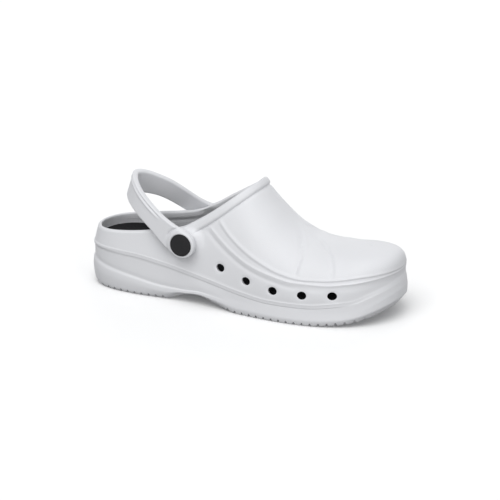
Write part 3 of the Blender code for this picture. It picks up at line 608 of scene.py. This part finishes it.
# Rounded bar section carried along the path. Its half widths follow the table, and past the rivet
# they close in a half circle. The outer face has a rim along its upper edge with a groove under it,
# a round step where the boss starts and a lip round the rivet's seat.
def makeStrap():
    form = strapForm
    run, length = strapPath()
    total = length[-1]
    end = form["bossRadius"] * np.cos(np.linspace(0, math.pi / 2, 26))
    arm = np.concatenate([-end[:-1], np.linspace(0, 20, 34), np.linspace(20, 44, 18)[1:]])
    at = np.concatenate([arm, np.linspace(44, total - 44, 90)[1:-1], total - arm[::-1]])
    fromRivet = np.minimum(at, total - at)
    inside = np.clip(at, 0, total)
    reach = np.interp(inside, length, run[:, 0]) + np.minimum(fromRivet, 0)
    across = np.interp(inside, length, run[:, 1])
    endRound = np.sqrt(np.maximum(form["bossRadius"] ** 2 - fromRivet ** 2, form["tip"] ** 2))
    bandWidth = [tableCurve(form["band"], i, np.maximum(fromRivet, 0)) for i in (1, 2)]
    upper, lower = (np.where(fromRivet < 0, endRound, width) for width in bandWidth)
    drop, dropFrom, dropFull, dropEnd = form["farDrop"]
    hang = ramp(fromRivet, dropFrom, dropFull) * (1 - ramp(fromRivet, dropFull, dropEnd)) * (across > 0)
    upper = upper - form["farTrim"] * hang
    half = form["thickness"] / 2
    corner = np.minimum(form["edgeRound"], 0.8 * np.minimum(upper, lower))
    # section: outer face from top to bottom, two lower corners, inner face, two upper corners
    face = np.linspace(1, 0, 41)
    turn = np.radians(np.arange(15, 91, 15))
    high, low = upper - corner, corner - lower
    outerWide = low + (high - low) * face[:, None]
    innerWide = low + (high - low) * np.linspace(0, 1, 17)[:, None]
    sine, cosine = np.sin(turn)[:, None], np.cos(turn)[:, None]
    wide = np.concatenate([outerWide, low - corner * sine, low - corner * cosine, innerWide[1:],
                           high + corner * sine, high + corner * cosine[:-1]])
    deep = np.concatenate([half + 0 * outerWide, half - corner + corner * cosine,
                           corner - half - corner * sine, 0 * innerWide[1:] - half,
                           corner - half - corner * cosine, half - corner + corner * sine[:-1]])
    outerSide = np.clip(deep / half, 0, 1)
    radial = np.hypot(fromRivet, wide)
    relief = form["bossRaise"] * (1 - ramp(radial, *form["bossStep"]))
    relief += form["seatLip"] * ramp(radial, *form["lipStart"]) * (1 - ramp(radial, *form["lipEnd"]))
    place, depth, width = form["bossCrease"]
    relief -= depth * bell(radial - place, width) * (fromRivet > 0) * ramp(wide, *form["creaseSide"])
    fromTop = upper - wide
    rimOn = ramp(fromRivet, *form["rimFade"])
    relief += rimOn * form["rimRaise"] * (1 - ramp(fromTop, *form["rimEdge"]))
    for sign, (place, depth, width) in ((-1, form["rimGroove"]), (1, form["rimBead"])):
        relief += sign * rimOn * depth * bell(fromTop - place, width)
    deep = deep + outerSide * relief
    tangent = unit(np.stack([np.gradient(reach, at), np.gradient(across, at)], 1))
    outward = np.stack([tangent[:, 1], -tangent[:, 0]], 1)
    lift = math.radians(form["lift"])
    back = np.array([-math.cos(lift), 0, math.sin(lift)])
    upright = ramp(fromRivet, form["twistFrom"], total / 2)
    lean = np.radians(form["lift"] + (form["heelLean"] - form["lift"]) * upright)
    rise = np.stack([np.sin(lean), 0 * lean, np.cos(lean)], 1)
    planReach = reach + outward[:, 0] * deep
    planAcross = across + outward[:, 1] * deep
    points = planReach[..., None] * back + wide[..., None] * rise
    points[..., 1] += planAcross
    points = points.transpose(1, 0, 2) + rivetCentre
    points[..., 1] += (form["farSpread"] * hang)[:, None]
    points[..., 2] -= (drop * hang)[:, None]
    shape = points.shape[:2]
    values = {"panel": np.zeros(shape), "within": np.zeros(shape), "lining": np.zeros((*shape, 3))}
    mesh = gridMesh("heel_strap_visual", points, values=values, capEnds=True)
    piece = addPiece("heel_strap_visual", mesh, strapFoam, "strap", "heel_strap")
    # seats of the rivet heads
    seat = bossFace - rivetForm["headSunk"]
    outwards = np.array([[0, -1.0, 0], [0, 1.0, 0]])
    radius = rivetForm["headRadius"] + rivetForm["gap"]
    ahead, upwards = np.tile([radius, 0, 0], (2, 1)), np.tile([0, 0, radius], (2, 1))
    starts, ends = rivetCentre + outwards * seat, rivetCentre + outwards * (seat + form["seatReach"])
    cutPiece(piece, barsMesh("seats", starts, ends, ahead, upwards, rivetForm["segments"]))


makeStrap()
makeRivet("rivet_lateral_visual", -1.0, "rivet_lateral")
makeRivet("rivet_medial_visual", 1.0, "rivet_medial")
print("strap and rivets ready")


# Upper and sole
mouldingForm = {
    "columns": (57, 60, 24, 86),  # on each side: heel to mouth, to the throat, across the band, to the toe
    "mouth": (0.36, 1.5),  # share at which the columns start to draw together, and how fast
    "wallRows": (30, 13, 40),  # below, between and above the beads
    "bandRows": 15, "lipRows": 9, "innerRows": 22,
    "innerBead": (  # station, height of the vamp panel's inner bead
        (100, 130.0), (127, 92.0), (136, 78.2), (146, 67.6), (160, 57.4), (178, 48.2), (198, 41.4),
        (217, 38.6), (235, 39.1), (252, 41.0), (267, 43.5), (281, 44.8), (290, 45.2)),
    "outerBead": (  # station, height of its outer bead
        (100, 98.0), (119, 80.5), (127, 72.3), (136, 64.2), (151, 53.5), (171, 43.8), (192, 38.4),
        (211, 35.7), (235, 35.7), (255, 37.6), (272, 40.3), (284, 42.1), (290, 42.8)),
    "beadRaise": (0.8, 0.95),  # outer, inner
    "beadGrow": (0.7, 0.15, 150.0, 230.0),  # share of that at the collar, and added between these stations
    "beadWidth": ((2.2, 1.25), (1.25, 2.2)),  # below and above the crest of each
    "beadHollow": (0.4, -4.2, 1.8),  # depth, place and width of the hollow under the outer bead
    "hollowEase": (0.7, 200.0, 245.0),  # share by which it fills up between these stations
    "beadEase": (0.6, 258.0, 284.0),  # the beads sink by this share between these stations
    "beadSlim": (0.4, 170.0, 240.0),  # and are narrower by this share towards the toe
    "beadClear": (0.0, 4.5),  # distances under the band over which they come in
    "panelRaise": (0.2, 0.15),  # step at the outer bead, and at the inner one
    "bandRaise": 1.9,
    "bandRoll": 3.2,  # the band rises to its full height over this width
    "bandFlat": (0.2, 4.5, 9.0),  # and sinks by this share towards the rim
    "bandGroove": (0.45, 0.7, 0.8),  # depth, place and width of the groove under it
    "innerRoll": (1.0, 6.0),  # the collar is thicker inside by this much, down to this depth
    "heelThin": (1.2, 4.0, 45.0),  # and thinner by this much at the heel, between these stations
    "grooves": (  # distance from the spine to each side, stations of both flex grooves
        (0, 193.5, 203.0), (6, 198.0, 213.2), (14, 202.8, 222.4), (22, 206.5, 230.0),
        (31, 209.7, 236.7), (41, 211.8, 241.3), (50, 211.6, 242.6)),
    "grooveDepth": (1.0, 0.85), "grooveWidth": 1.5,
    "grooveSwell": (0.4, 2.8, 1.6),  # share, place and width of the swell beside each
    "grooveClear": ((2.0, 12.0), (1.0, 5.0), (2.0, 8.0)),  # they fade out to the spine, bead and band
    "vents": (  # station, height
        (141.3, 37.9), (167.0, 30.9), (192.7, 26.8), (219.1, 26.4), (245.0, 27.9)),
    "ventRadii": (3.9, 3.2),  # along the row, across it
    "ventReach": 9.0,
    "ventTaper": 0.8,  # the vents widen inwards by this share over their reach
    "ventDish": 0.6, "dishEdge": (0.8, 1.6),
    "ribFields": ((14.0, 86.0), (150.0, 277.0)),
    "ribPitch": 7.0, "ribGroove": 2.9, "ribDepth": 2.2,
    "ribSlot": (0.5, 2.2, 0.9),  # half widths of top and foot in those of the groove, height of the round
    "ribLift": (0.3, 0.8),  # the slots come out this much higher at the sides, heel and forefoot
    "ribOut": 4.0,  # they reach this far past the sole's edge
    "creaseTrough": 0.3,  # the heel crease is deeper by this much right over its ledge
    "creaseEnd": (90.0, 140.0),
    "plainSide": (120.0, 160.0),  # from here on the side has no crease
    "pipingRaise": 0.18, "pipingHalf": 1.35, "pipingWidth": 0.55,
    "pipingEnd": (246.0, 262.0),  # the piping runs out into one soft ridge at the toe
    "ridgeEnd": (255.0, 282.0),  # and the ridge into the toe's bumper
    "ridgeEase": (0.65, 10.0, 50.0),  # the ridge stands out less along the sides than at the heel
}


# Columns all the way round from those of one half: the outer side to the toe, the inner side back.
def bothSides(half):
    share = np.concatenate([half, half[-2:0:-1]])
    side = np.concatenate([-np.ones(len(half)), np.ones(len(half) - 2)])
    return share, side


# Columns of one half. They draw together towards the throat by a power of their distance from it.
def columnShares(throat, bandEnd):
    many, closing, few, front = mouldingForm["columns"]
    mouth, power = mouldingForm["mouth"]
    return np.unique(np.concatenate([
        np.linspace(0, mouth, many), throat - (throat - mouth) * np.linspace(1, 0, closing) ** power,
        np.linspace(throat, bandEnd, few), np.linspace(bandEnd, 1, front)]))


# Underside and side of the sole. Each column is a smooth run through insets and heights taken from
# the tables: tread, rounded edge, heel bulge, crease, hollow, then the piping at the ridge.
def soleRows(side, share):
    form = mouldingForm
    foot, inward, way = wallColumn(side, share)[:3]
    station = foot[:, 0]
    tread, crease, ridge = (lineHeight(name, station) for name in ("tread", "crease", "ridge"))
    edge, hollow, rise, under = soleSide(station)
    half = lastForm["ridgeHalf"]
    bulge, ledge = tread + 0.6 * (crease - tread), crease + 0.5
    trough = form["creaseTrough"] * (1 - ramp(station, *form["creaseEnd"]))
    plain = ramp(station, *form["plainSide"])
    # place of each point along the side, its inset and its height
    run = ((0.0, edge, tread),
           (0.10, 0.68 * edge, tread + 0.22 * rise),
           (0.2, 0.3 * edge, tread + 1.05 * rise),
           (0.34, 0 * edge, bulge),
           (0.5, (0.3 + 0.25 * plain) * hollow, bulge + 0.63 * (ledge - bulge)),
           (0.62, hollow + trough, ledge),
           (0.74, hollow + 0.1 + 0.4 * plain * (under - hollow), crease + 3.5),
           (1.0, under, ridge - half))
    knots, depths, heights = (np.array(same) for same in zip(*run))
    fine = np.concatenate([np.linspace(0, 0.34, 12), np.linspace(0.34, 0.74, 15)[1:],
                           np.linspace(0.74, 1, 9)[1:]])
    depth, height = (np.stack([smoothLine(knots, column, fine) for column in same.T], 1)
                     for same in (depths, heights))
    # piping: two fine beads on a low step
    up = np.linspace(-1, 1, 19)[1:-1, None]
    offset = half * up + 0 * ridge
    bead = sum(bell(offset + sign * form["pipingHalf"], form["pipingWidth"]) for sign in (-1, 1))
    bead = form["pipingRaise"] * bead * (1 - ramp(station, *form["pipingEnd"]))
    base = under + (lastForm["wallInset"] - under) * (up + 1) / 2
    proud = 1 - ramp(station, *form["ridgeEnd"])
    ease, easeFrom, easeTo = form["ridgeEase"]
    ridgeTop = lastForm["ridgeInset"] + ease * ramp(station, easeFrom, easeTo)
    stripDepth = base - proud * (base - ridgeTop) * np.cos(up * math.pi / 2) ** 1.4 - bead
    depth = np.concatenate([depth, stripDepth])
    height = np.concatenate([height, ridge + offset])
    reachIn = np.linspace(1, 0, 7)[:-1, None]
    flat = foot + inward * (edge + (way - edge) * reachIn)[..., None]
    return np.concatenate([raisePlan(flat, lineHeight("tread", flat[..., 0])),
                           raisePlan(foot + inward * depth[..., None], height)])


# Middle of each vent hole, its outward way and the way of its row, on both sides of the shoe.
def ventAxes():
    table = np.array(mouldingForm["vents"])
    found = []
    for sign, half in ((-1.0, outerHalf), (1.0, innerHalf)):
        share = np.interp(table[:, 0], byLength(half, evenShare)[:, 0], evenShare)
        side = np.full(len(share), sign)
        angle = findAngle(side, share, lambda p: p[:, 2] > table[:, 1])
        middle = flankPoint(side, share, angle)
        along = flankPoint(side, share + 0.004, angle) - flankPoint(side, share - 0.004, angle)
        up = flankPoint(side, share, angle + 0.02) - middle
        normal = unit(np.cross(along, up) * -sign)
        across = unit(np.cross(normal, np.gradient(middle, axis=0)))
        found.append((middle, normal, np.cross(across, normal), across))
    return [np.concatenate(same) for same in zip(*found)]


# A line of a table and its slope, level before the table's start.
def tableLine(table, index, at):
    at = np.maximum(at, table[0][0] + 0.5)
    slope = tableCurve(table, index, at + 0.5) - tableCurve(table, index, at - 0.5)
    return tableCurve(table, index, at), slope


# Height to add along the normal of the outer skin. Each part is a bell or a ramp of the distance to
# its line: two beads with a hollow under them, the panel's step, flex grooves over the vamp, a dish
# round each vent, and the rolled band, a quarter round with a fine groove under it.
def skinRelief(skin, normal, bandOn):
    form = mouldingForm
    station, across, height = skin[..., 0], skin[..., 1], skin[..., 2]

    def bandLine(at, aside):
        return collarHeight(at, aside) - bandDrop(at)

    slopeOn = bandLine(station + 0.5, across) - bandLine(station - 0.5, across)
    slopeAside = bandLine(station, across + 0.5) - bandLine(station, across - 0.5)
    under = skinDistance(bandLine(station, across) - height, (slopeOn, slopeAside, -1), normal)
    clear = ramp(under, *form["beadClear"])
    relief = np.zeros(station.shape)

    def lessBy(title):
        share, first, last = form[title]
        return 1 - share * ramp(station, first, last)

    least, grow, growFrom, growTo = form["beadGrow"]
    eased = lessBy("beadEase") * (least + grow * ramp(station, growFrom, growTo))
    slim = lessBy("beadSlim")
    distances = []
    for title, raised, (below, above), step in zip(("outerBead", "innerBead"), form["beadRaise"],
                                                   form["beadWidth"], form["panelRaise"]):
        line, slope = tableLine(form[title], 1, station)
        off = skinDistance(height - line, (-slope, 0, 1), normal)
        distances.append(off)
        bead = np.where(off < 0, bell(off, below * slim), bell(off, above * slim))
        relief += clear * (eased * raised * bead + step * ramp(off, -1.0, 1.0))
    depth, place, width = form["beadHollow"]
    relief -= depth * clear * lessBy("hollowEase") * bell(distances[0] - place, width)
    within = ramp(distances[1], -0.5, 1.5) * ramp(under, 0.5, 2.0)
    fromSpine = across - tableCurve(lastForm["spine"], 2, station)
    spineClear, beadClear, bandClear = form["grooveClear"]
    shown = (ramp(np.abs(fromSpine), *spineClear) * ramp(distances[1], *beadClear)
             * ramp(under, *bandClear))
    swell, place, width = form["grooveSwell"]
    for index, depth in zip((1, 2), form["grooveDepth"]):
        line, slope = tableLine(form["grooves"], index, np.abs(fromSpine))
        off = skinDistance(station - line, (1, -slope * np.sign(fromSpine), 0), normal)
        relief -= depth * shown * (bell(off, form["grooveWidth"]) - swell * bell(off - place, width))
    middles, _, along, aside = ventAxes()
    wide, tall = form["ventRadii"]
    for middle, row, upward in zip(middles, along, aside):
        gap = np.hypot(((skin - middle) @ row) / wide, ((skin - middle) @ upward) / tall)
        near = np.linalg.norm(skin - middle, axis=-1) < 3 * wide
        relief -= form["ventDish"] * (1 - ramp(gap, *form["dishEdge"])) * near
    roll = np.clip(-under / form["bandRoll"], 0, 1)
    sink, sinkFrom, sinkTo = form["bandFlat"]
    band = form["bandRaise"] * np.sqrt(roll * (2 - roll)) * (1 - sink * ramp(-under, sinkFrom, sinkTo))
    depth, place, width = form["bandGroove"]
    return relief + bandOn * (band - depth * bell(under - place, width)), within


# Draws the wall flat round the rivets' axis: inside the radius it keeps the given distance from
# the middle plane, and it eases back to its own form by the fade radius and towards the collar.
def seatOnAxis(points, which):
    form = rivetForm
    face, radius, fade = (form[which + title] for title in ("Face", "Radius", "Fade"))
    gap = np.hypot(points[..., 0] - form["station"], points[..., 2] - form["height"])
    sign = np.where(points[..., 1] > form["middle"], 1.0, -1.0)
    hold = (1 - ramp(gap, radius, fade)) * (1 - ramp(points[..., 2], *form["padTop"]))
    target = form["middle"] + sign * face
    points[..., 1] += (target - points[..., 1]) * hold


# Angles of the wall's rows, from its foot to the band: one row lies on the crest of each bead, and
# the rows draw together towards the crests.
def wallRows(side, share, band):
    crests = []
    station = wallColumn(side, share)[0][:, 0]
    # bead, its share of the wall behind its start, its highest share, its start
    for title, hidden, most, start in (("outerBead", 0.72, 0.90, 100.0), ("innerBead", 0.84, 0.95, 106.0)):
        angle = findAngle(side, share, lambda p: p[:, 2] > tableLine(mouldingForm[title], 1, p[:, 0])[0])
        shown = ramp(station, start, start + 18.0)
        crests.append(band * (hidden + (np.minimum(angle / band, most) - hidden) * shown))
    low, between, high = mouldingForm["wallRows"]
    closing = np.sin(np.linspace(0, math.pi / 2, low))[:, None]
    even = np.linspace(0, 1, between)[1:, None]
    opening = (1 - np.cos(np.linspace(0, math.pi / 2, high)))[1:, None]
    opening = 0.35 * np.linspace(0, 1, high)[1:, None] + 0.65 * opening
    return np.concatenate([crests[0] * closing, crests[0] + (crests[1] - crests[0]) * even,
                           crests[1] + (band - crests[1]) * opening])


# Both flanks get the same point where they reach the spine.
def meetOnSpine(points, angles, half):
    left = np.arange(1, half - 1)
    right = points.shape[1] - left
    onSpine = (angles[:, left] > math.pi / 2 - 1e-6)[..., None]
    middle = (points[:, left] + points[:, right]) / 2
    points[:, left] = np.where(onSpine, middle, points[:, left])
    points[:, right] = np.where(onSpine, middle, points[:, right])


# Upper and sole as one grid. Each column runs from the middle of the underside out to the edge, up
# the side and the flank to the collar, over the lip, down the inner wall and in over the bed.
def makeMoulding():
    form = mouldingForm
    wall = lastForm["wall"]
    throat = spineShare(lipDrop)
    throatInside = spineShare(lipDrop, wall)
    bandEnd = spineShare(bandDrop)
    half = columnShares(throat, bandEnd)
    share, side = bothSides(half)
    inFront, shut = share >= throat - 1e-9, share >= bandEnd - 1e-9
    band = findAngle(side, share, underCollar(bandDrop))
    band[shut] = math.pi / 2
    top = findAngle(side, share, underCollar(lipDrop))
    top[inFront] = math.pi / 2
    bandPart = np.linspace(0, 1, form["bandRows"])[1:, None]
    wallAngles = wallRows(side, share, band)
    wallCount = len(wallAngles)
    angles = np.concatenate([wallAngles, band + (top - band) * bandPart])
    skin = flankPoint(side, share, angles)
    station = wallColumn(side, share)[0][:, 0]
    bandOn = ramp(station, *lastForm["bandStart"])
    normal = flankNormal(side, share, angles)
    relief, within = skinRelief(skin, normal, bandOn)
    skin = skin + normal * relief[..., None]
    skin[wallCount:, shut] = skin[wallCount - 1, shut]
    seatOnAxis(skin, "pad")
    meetOnSpine(skin, angles, len(half))
    # inner wall, set in by the wall's thickness, then the bed
    shareIn = share + (throatInside - throat) * bell(share - throat, 0.06)
    topIn = findAngle(side, shareIn, underCollar(lipDrop), wall)
    topIn[inFront] = math.pi / 2
    bedRound = lastForm["bedRound"]
    footIn = findAngle(side, shareIn, lambda p: p[:, 2] > lineHeight("footbed", p[:, 0]) + bedRound, wall)
    innerPart = np.linspace(0, 1, form["innerRows"])[:, None]
    innerAngles = topIn + (footIn - topIn) * innerPart
    inner = flankPoint(side, shareIn, innerAngles, wall)
    fromRim = np.cumsum(np.linalg.norm(np.diff(inner, axis=0, prepend=inner[:1]), axis=-1), 0)
    thick, deep = form["innerRoll"]
    fromRim = fromRim / deep
    thicker = thick * (1 - ramp(fromRim, 0.55, 1.0) - 0.35 * bell(fromRim - 1.15, 0.2))
    thicker = thicker * (1 - ramp(share, throat - 0.04, throat))
    thinner, thinFrom, thinTo = form["heelThin"]
    atHeel = 1 - ramp(station, thinFrom, thinTo)
    thicker = thicker * (1 - atHeel) - thinner * atHeel
    inner = inner - flankNormal(side, shareIn, innerAngles, wall) * thicker[..., None]
    seatOnAxis(inner, "inner")
    # lip: half an ellipse from the outer edge over to the inner one
    rise = unit(skin[-1] - skin[-2])
    turn = np.linspace(0, math.pi, form["lipRows"] + 2)[1:-1, None, None]
    lip = ((skin[-1] + inner[0]) / 2 + (skin[-1] - inner[0]) / 2 * np.cos(turn)
           + rise * lastForm["collarLip"] * np.sin(turn))
    meetOnSpine(lip, np.tile(top, (len(lip), 1)), len(half))
    foot, inward, way = wallColumn(side, shareIn)[:3]
    start = lastForm["wallInset"] + wall + lastForm["bedInset"]
    part = np.linspace(0, 1, 6)[:, None]
    bed = foot + inward * (start + (way - start) * part)[..., None]
    bed = raisePlan(bed, lineHeight("footbed", bed[..., 0]))
    sole = soleRows(side, share)
    points = np.concatenate([sole, skin, lip, inner, bed])
    # faces over the lip only where the collar is open
    keep = np.ones((len(points) - 1, len(share)), bool)
    firstLip = len(sole) + len(skin) - 1
    openHere = share <= throat + 1e-9
    keep[firstLip:firstLip + len(lip) + 1] = openHere & np.roll(openHere, -1)
    # values that the foam reads: panel grain, lining dots and their places
    panel = np.zeros(points.shape[:2])
    panel[len(sole):len(sole) + wallCount] = within[:wallCount]
    inside = np.zeros(points.shape[:2])
    inside[firstLip + len(lip) + 3:] = 1  # the dots start a few rows under the lip
    around = 0.34  # metres of lining from heel to toe
    lining = np.stack([share * around + 0 * panel, points[..., 2] * mm, 0 * panel], -1)
    values = {"panel": panel, "within": inside, "lining": lining}
    mesh = gridMesh("clog_moulding_visual", points, keep, values)
    piece = addPiece("clog_moulding_visual", mesh, foam, "clog", "clog_moulding")
    print("moulding grid:", len(mesh.polygons), "faces")
    middles, normals, along, aside = ventAxes()
    reach = normals * form["ventReach"]
    wide, tall = form["ventRadii"]
    cutPiece(piece, barsMesh("vents", middles - reach, middles + reach, along * wide, aside * tall, 48,
                             form["ventTaper"]))
    cutPiece(piece, treadCutter())
    print("moulding cut:", len(piece.data.polygons), "faces")


# Bars across the underside: a slot with a round top that flares downwards, carried from side to
# side. Its top follows the tread and lifts where it comes out at the rounded edge.
def treadCutter():
    form = mouldingForm
    fields = [np.arange(first, last, form["ribPitch"]) for first, last in form["ribFields"]]
    stations = np.concatenate(fields)
    edge, _, rise, _ = soleSide(stations)
    turn = np.linspace(0, math.pi, 9)
    half = form["ribGroove"] / 2
    outside, inside = (np.interp(stations, byLength(way, evenShare)[:, 0], byLength(way, evenShare)[:, 1])
                       for way in (outerHalf, innerHalf))
    inset = edge * np.array([-1.5, 0.0, 0.2, 0.4, 0.6, 0.8, 1.0, 1.2, 1.5])[:, None]
    inset[0] -= form["ribOut"]
    across = np.concatenate([outside + inset, (inside - inset)[::-1]])
    raised = np.repeat(form["ribLift"], [len(field) for field in fields])
    lift = (raised + rise - rise.min()) * (1 - ramp(inset / edge, 0.2, 1.3))
    lift = np.concatenate([lift, lift[::-1]])
    tread = lineHeight("tread", stations)
    top = tread + form["ribDepth"] + lift
    narrow, wide, arch = form["ribSlot"]
    slotX = np.concatenate([half * narrow * np.cos(turn), [-half * wide, half * wide]])
    below = tread - 1.5 + 0 * top
    sectionZ = np.concatenate([top[..., None] + arch * (np.sin(turn) - 1), np.stack([below, below], -1)], -1)
    sectionX = (stations[:, None] + slotX)[None] + 0 * sectionZ
    points = np.stack([sectionX, across[..., None] + 0 * sectionZ, sectionZ], -1)
    return cutterFrom("tread", points.transpose(1, 0, 2, 3))


makeMoulding()
print("moulding ready")


# Insole
insoleForm = {
    "thickness": 4.0, "lift": 0.3, "sideGap": 0.5, "edge": 1.0, "columns": 140,
    "cup": 0.2, "cupFade": (40.0, 130.0),  # the rim's height round the heel, and where it runs out
}


# Liner on the footbed: each column runs in from the rim, over a rounded edge, to the middle line,
# and the rim stands up round the heel.
def makeInsole():
    form = insoleForm
    share, side = bothSides(np.linspace(0, 1, form["columns"]))
    foot, inward, way = wallColumn(side, share)[:3]
    rim = lastForm["wallInset"] + lastForm["wall"] + lastForm["bedInset"] + form["sideGap"]
    turn = np.linspace(0, math.pi / 2, 6)
    edge = form["edge"]
    inset = np.concatenate([edge * (1 - np.sin(turn[::-1])), edge * (1 - np.cos(turn))])
    lift = np.concatenate([edge * (1 - np.cos(turn[::-1])), form["thickness"] - edge + edge * np.sin(turn)])
    lift = np.concatenate([[0, 0, 0, 0], lift, np.full(9, form["thickness"])])
    part = np.concatenate([[1.0, 0.7, 0.4, 0.1], 0 * inset, np.linspace(0, 1, 10)[1:]])
    inset = np.concatenate([np.full(4, edge), inset, np.full(9, edge)])
    depth = rim + inset[:, None] + (way - rim - edge) * part[:, None]
    plan = foot + inward * depth[..., None]
    cup = form["cup"] * (1 - ramp(plan[..., 0], *form["cupFade"])) * (1 - ramp(part, 0.0, 0.28))[:, None]
    height = lineHeight("footbed", plan[..., 0]) + form["lift"] + lift[:, None] + cup * (lift[:, None] > 0.5)
    mesh = gridMesh("insole_visual", raisePlan(plan, height))
    piece = addPiece("insole_visual", mesh, cloth, "clog", "insole")


makeInsole()
print("insole ready")


# Floor, light and camera
stageForm = {
    "floor": 6.0, "floorColour": (1.0, 1.0, 1.0), "floorRoughness": 0.9,
    "skyColour": (0.98, 0.99, 1.0), "skyStrength": 0.53,
    "cardDepth": 0.002, "cardGlow": 0.15,
    "lamps": {  # power, angle of the source in degrees, where it shines from
        "key": (1.42, 48.0, (0.0, -0.6, 1.0)),
        "fill": (0.75, 45.0, (0.0, -1.0, 0.12)),
        "toe": (1.05, 36.0, (1.0, -0.6, 0.08)),
        "back": (0.7, 50.0, (-0.2, 1.0, 0.3)),
    },
    "azimuth": 24.0, "elevation": 18.5, "target": (0.005, 0.0, 0.042), "distance": 1.6,
    "lens": 132.5, "sensor": 36.0, "clipEnd": 50.0,
}


# Level square with its middle at the origin, or under it by the depth.
def makeSheet(name, material, depth=0.0):
    half = stageForm["floor"] / 2
    mesh = bpy.data.meshes.new(name)
    corners = [(-half, -half, -depth), (half, -half, -depth), (half, half, -depth), (-half, half, -depth)]
    mesh.from_pydata(corners, [], [(0, 1, 2, 3)])
    mesh.materials.append(material)
    return addObject(name, mesh)


# White paper under an even sky, four broad lamps, and the camera on its sphere round the target.
def makeStage():
    form = stageForm
    paper = newMaterial("studio_paper", form["floorColour"], form["floorRoughness"], 0.0)[0]
    floor = makeSheet("studio_floor", paper)
    # the shoe sees a dim card in place of the paper, so little light comes back up
    floor.visible_diffuse = False
    dim, _, shader = newMaterial("dim_card", (0.0, 0.0, 0.0), 1.0, 0.0)
    shader.inputs["Emission Color"].default_value = (*form["skyColour"], 1)
    shader.inputs["Emission Strength"].default_value = form["cardGlow"]
    card = makeSheet("dim_card", dim, form["cardDepth"])
    card.visible_camera = card.visible_glossy = card.visible_transmission = card.visible_shadow = False
    world = bpy.data.worlds.new("studio")
    world.use_nodes = True
    sky = world.node_tree.nodes["Background"]
    sky.inputs["Color"].default_value = (*form["skyColour"], 1)
    sky.inputs["Strength"].default_value = form["skyStrength"]
    bpy.context.scene.world = world
    for title, (power, angle, source) in form["lamps"].items():
        lamp = bpy.data.lights.new(title, "SUN")
        lamp.energy = power
        lamp.angle = math.radians(angle)
        light = addObject(title, lamp)
        light.rotation_euler = Vector(source).to_track_quat("Z", "Y").to_euler()
    turn, raised = math.radians(form["azimuth"]), math.radians(form["elevation"])
    back = Vector((math.sin(turn) * math.cos(raised), -math.cos(turn) * math.cos(raised), math.sin(raised)))
    right = Vector((math.cos(turn), math.sin(turn), 0))
    up = back.cross(right)
    eye = Vector(form["target"]) + back * form["distance"]
    data = bpy.data.cameras.new("camera")
    data.lens = form["lens"]
    data.sensor_width = form["sensor"]
    data.clip_end = form["clipEnd"]
    camera = addObject("camera", data)
    camera.matrix_world = Matrix.Translation(eye) @ Matrix((right, up, back)).transposed().to_4x4()
    bpy.context.scene.camera = camera
    bpy.context.scene.view_settings.view_transform = "Standard"


makeStage()
print("stage ready")
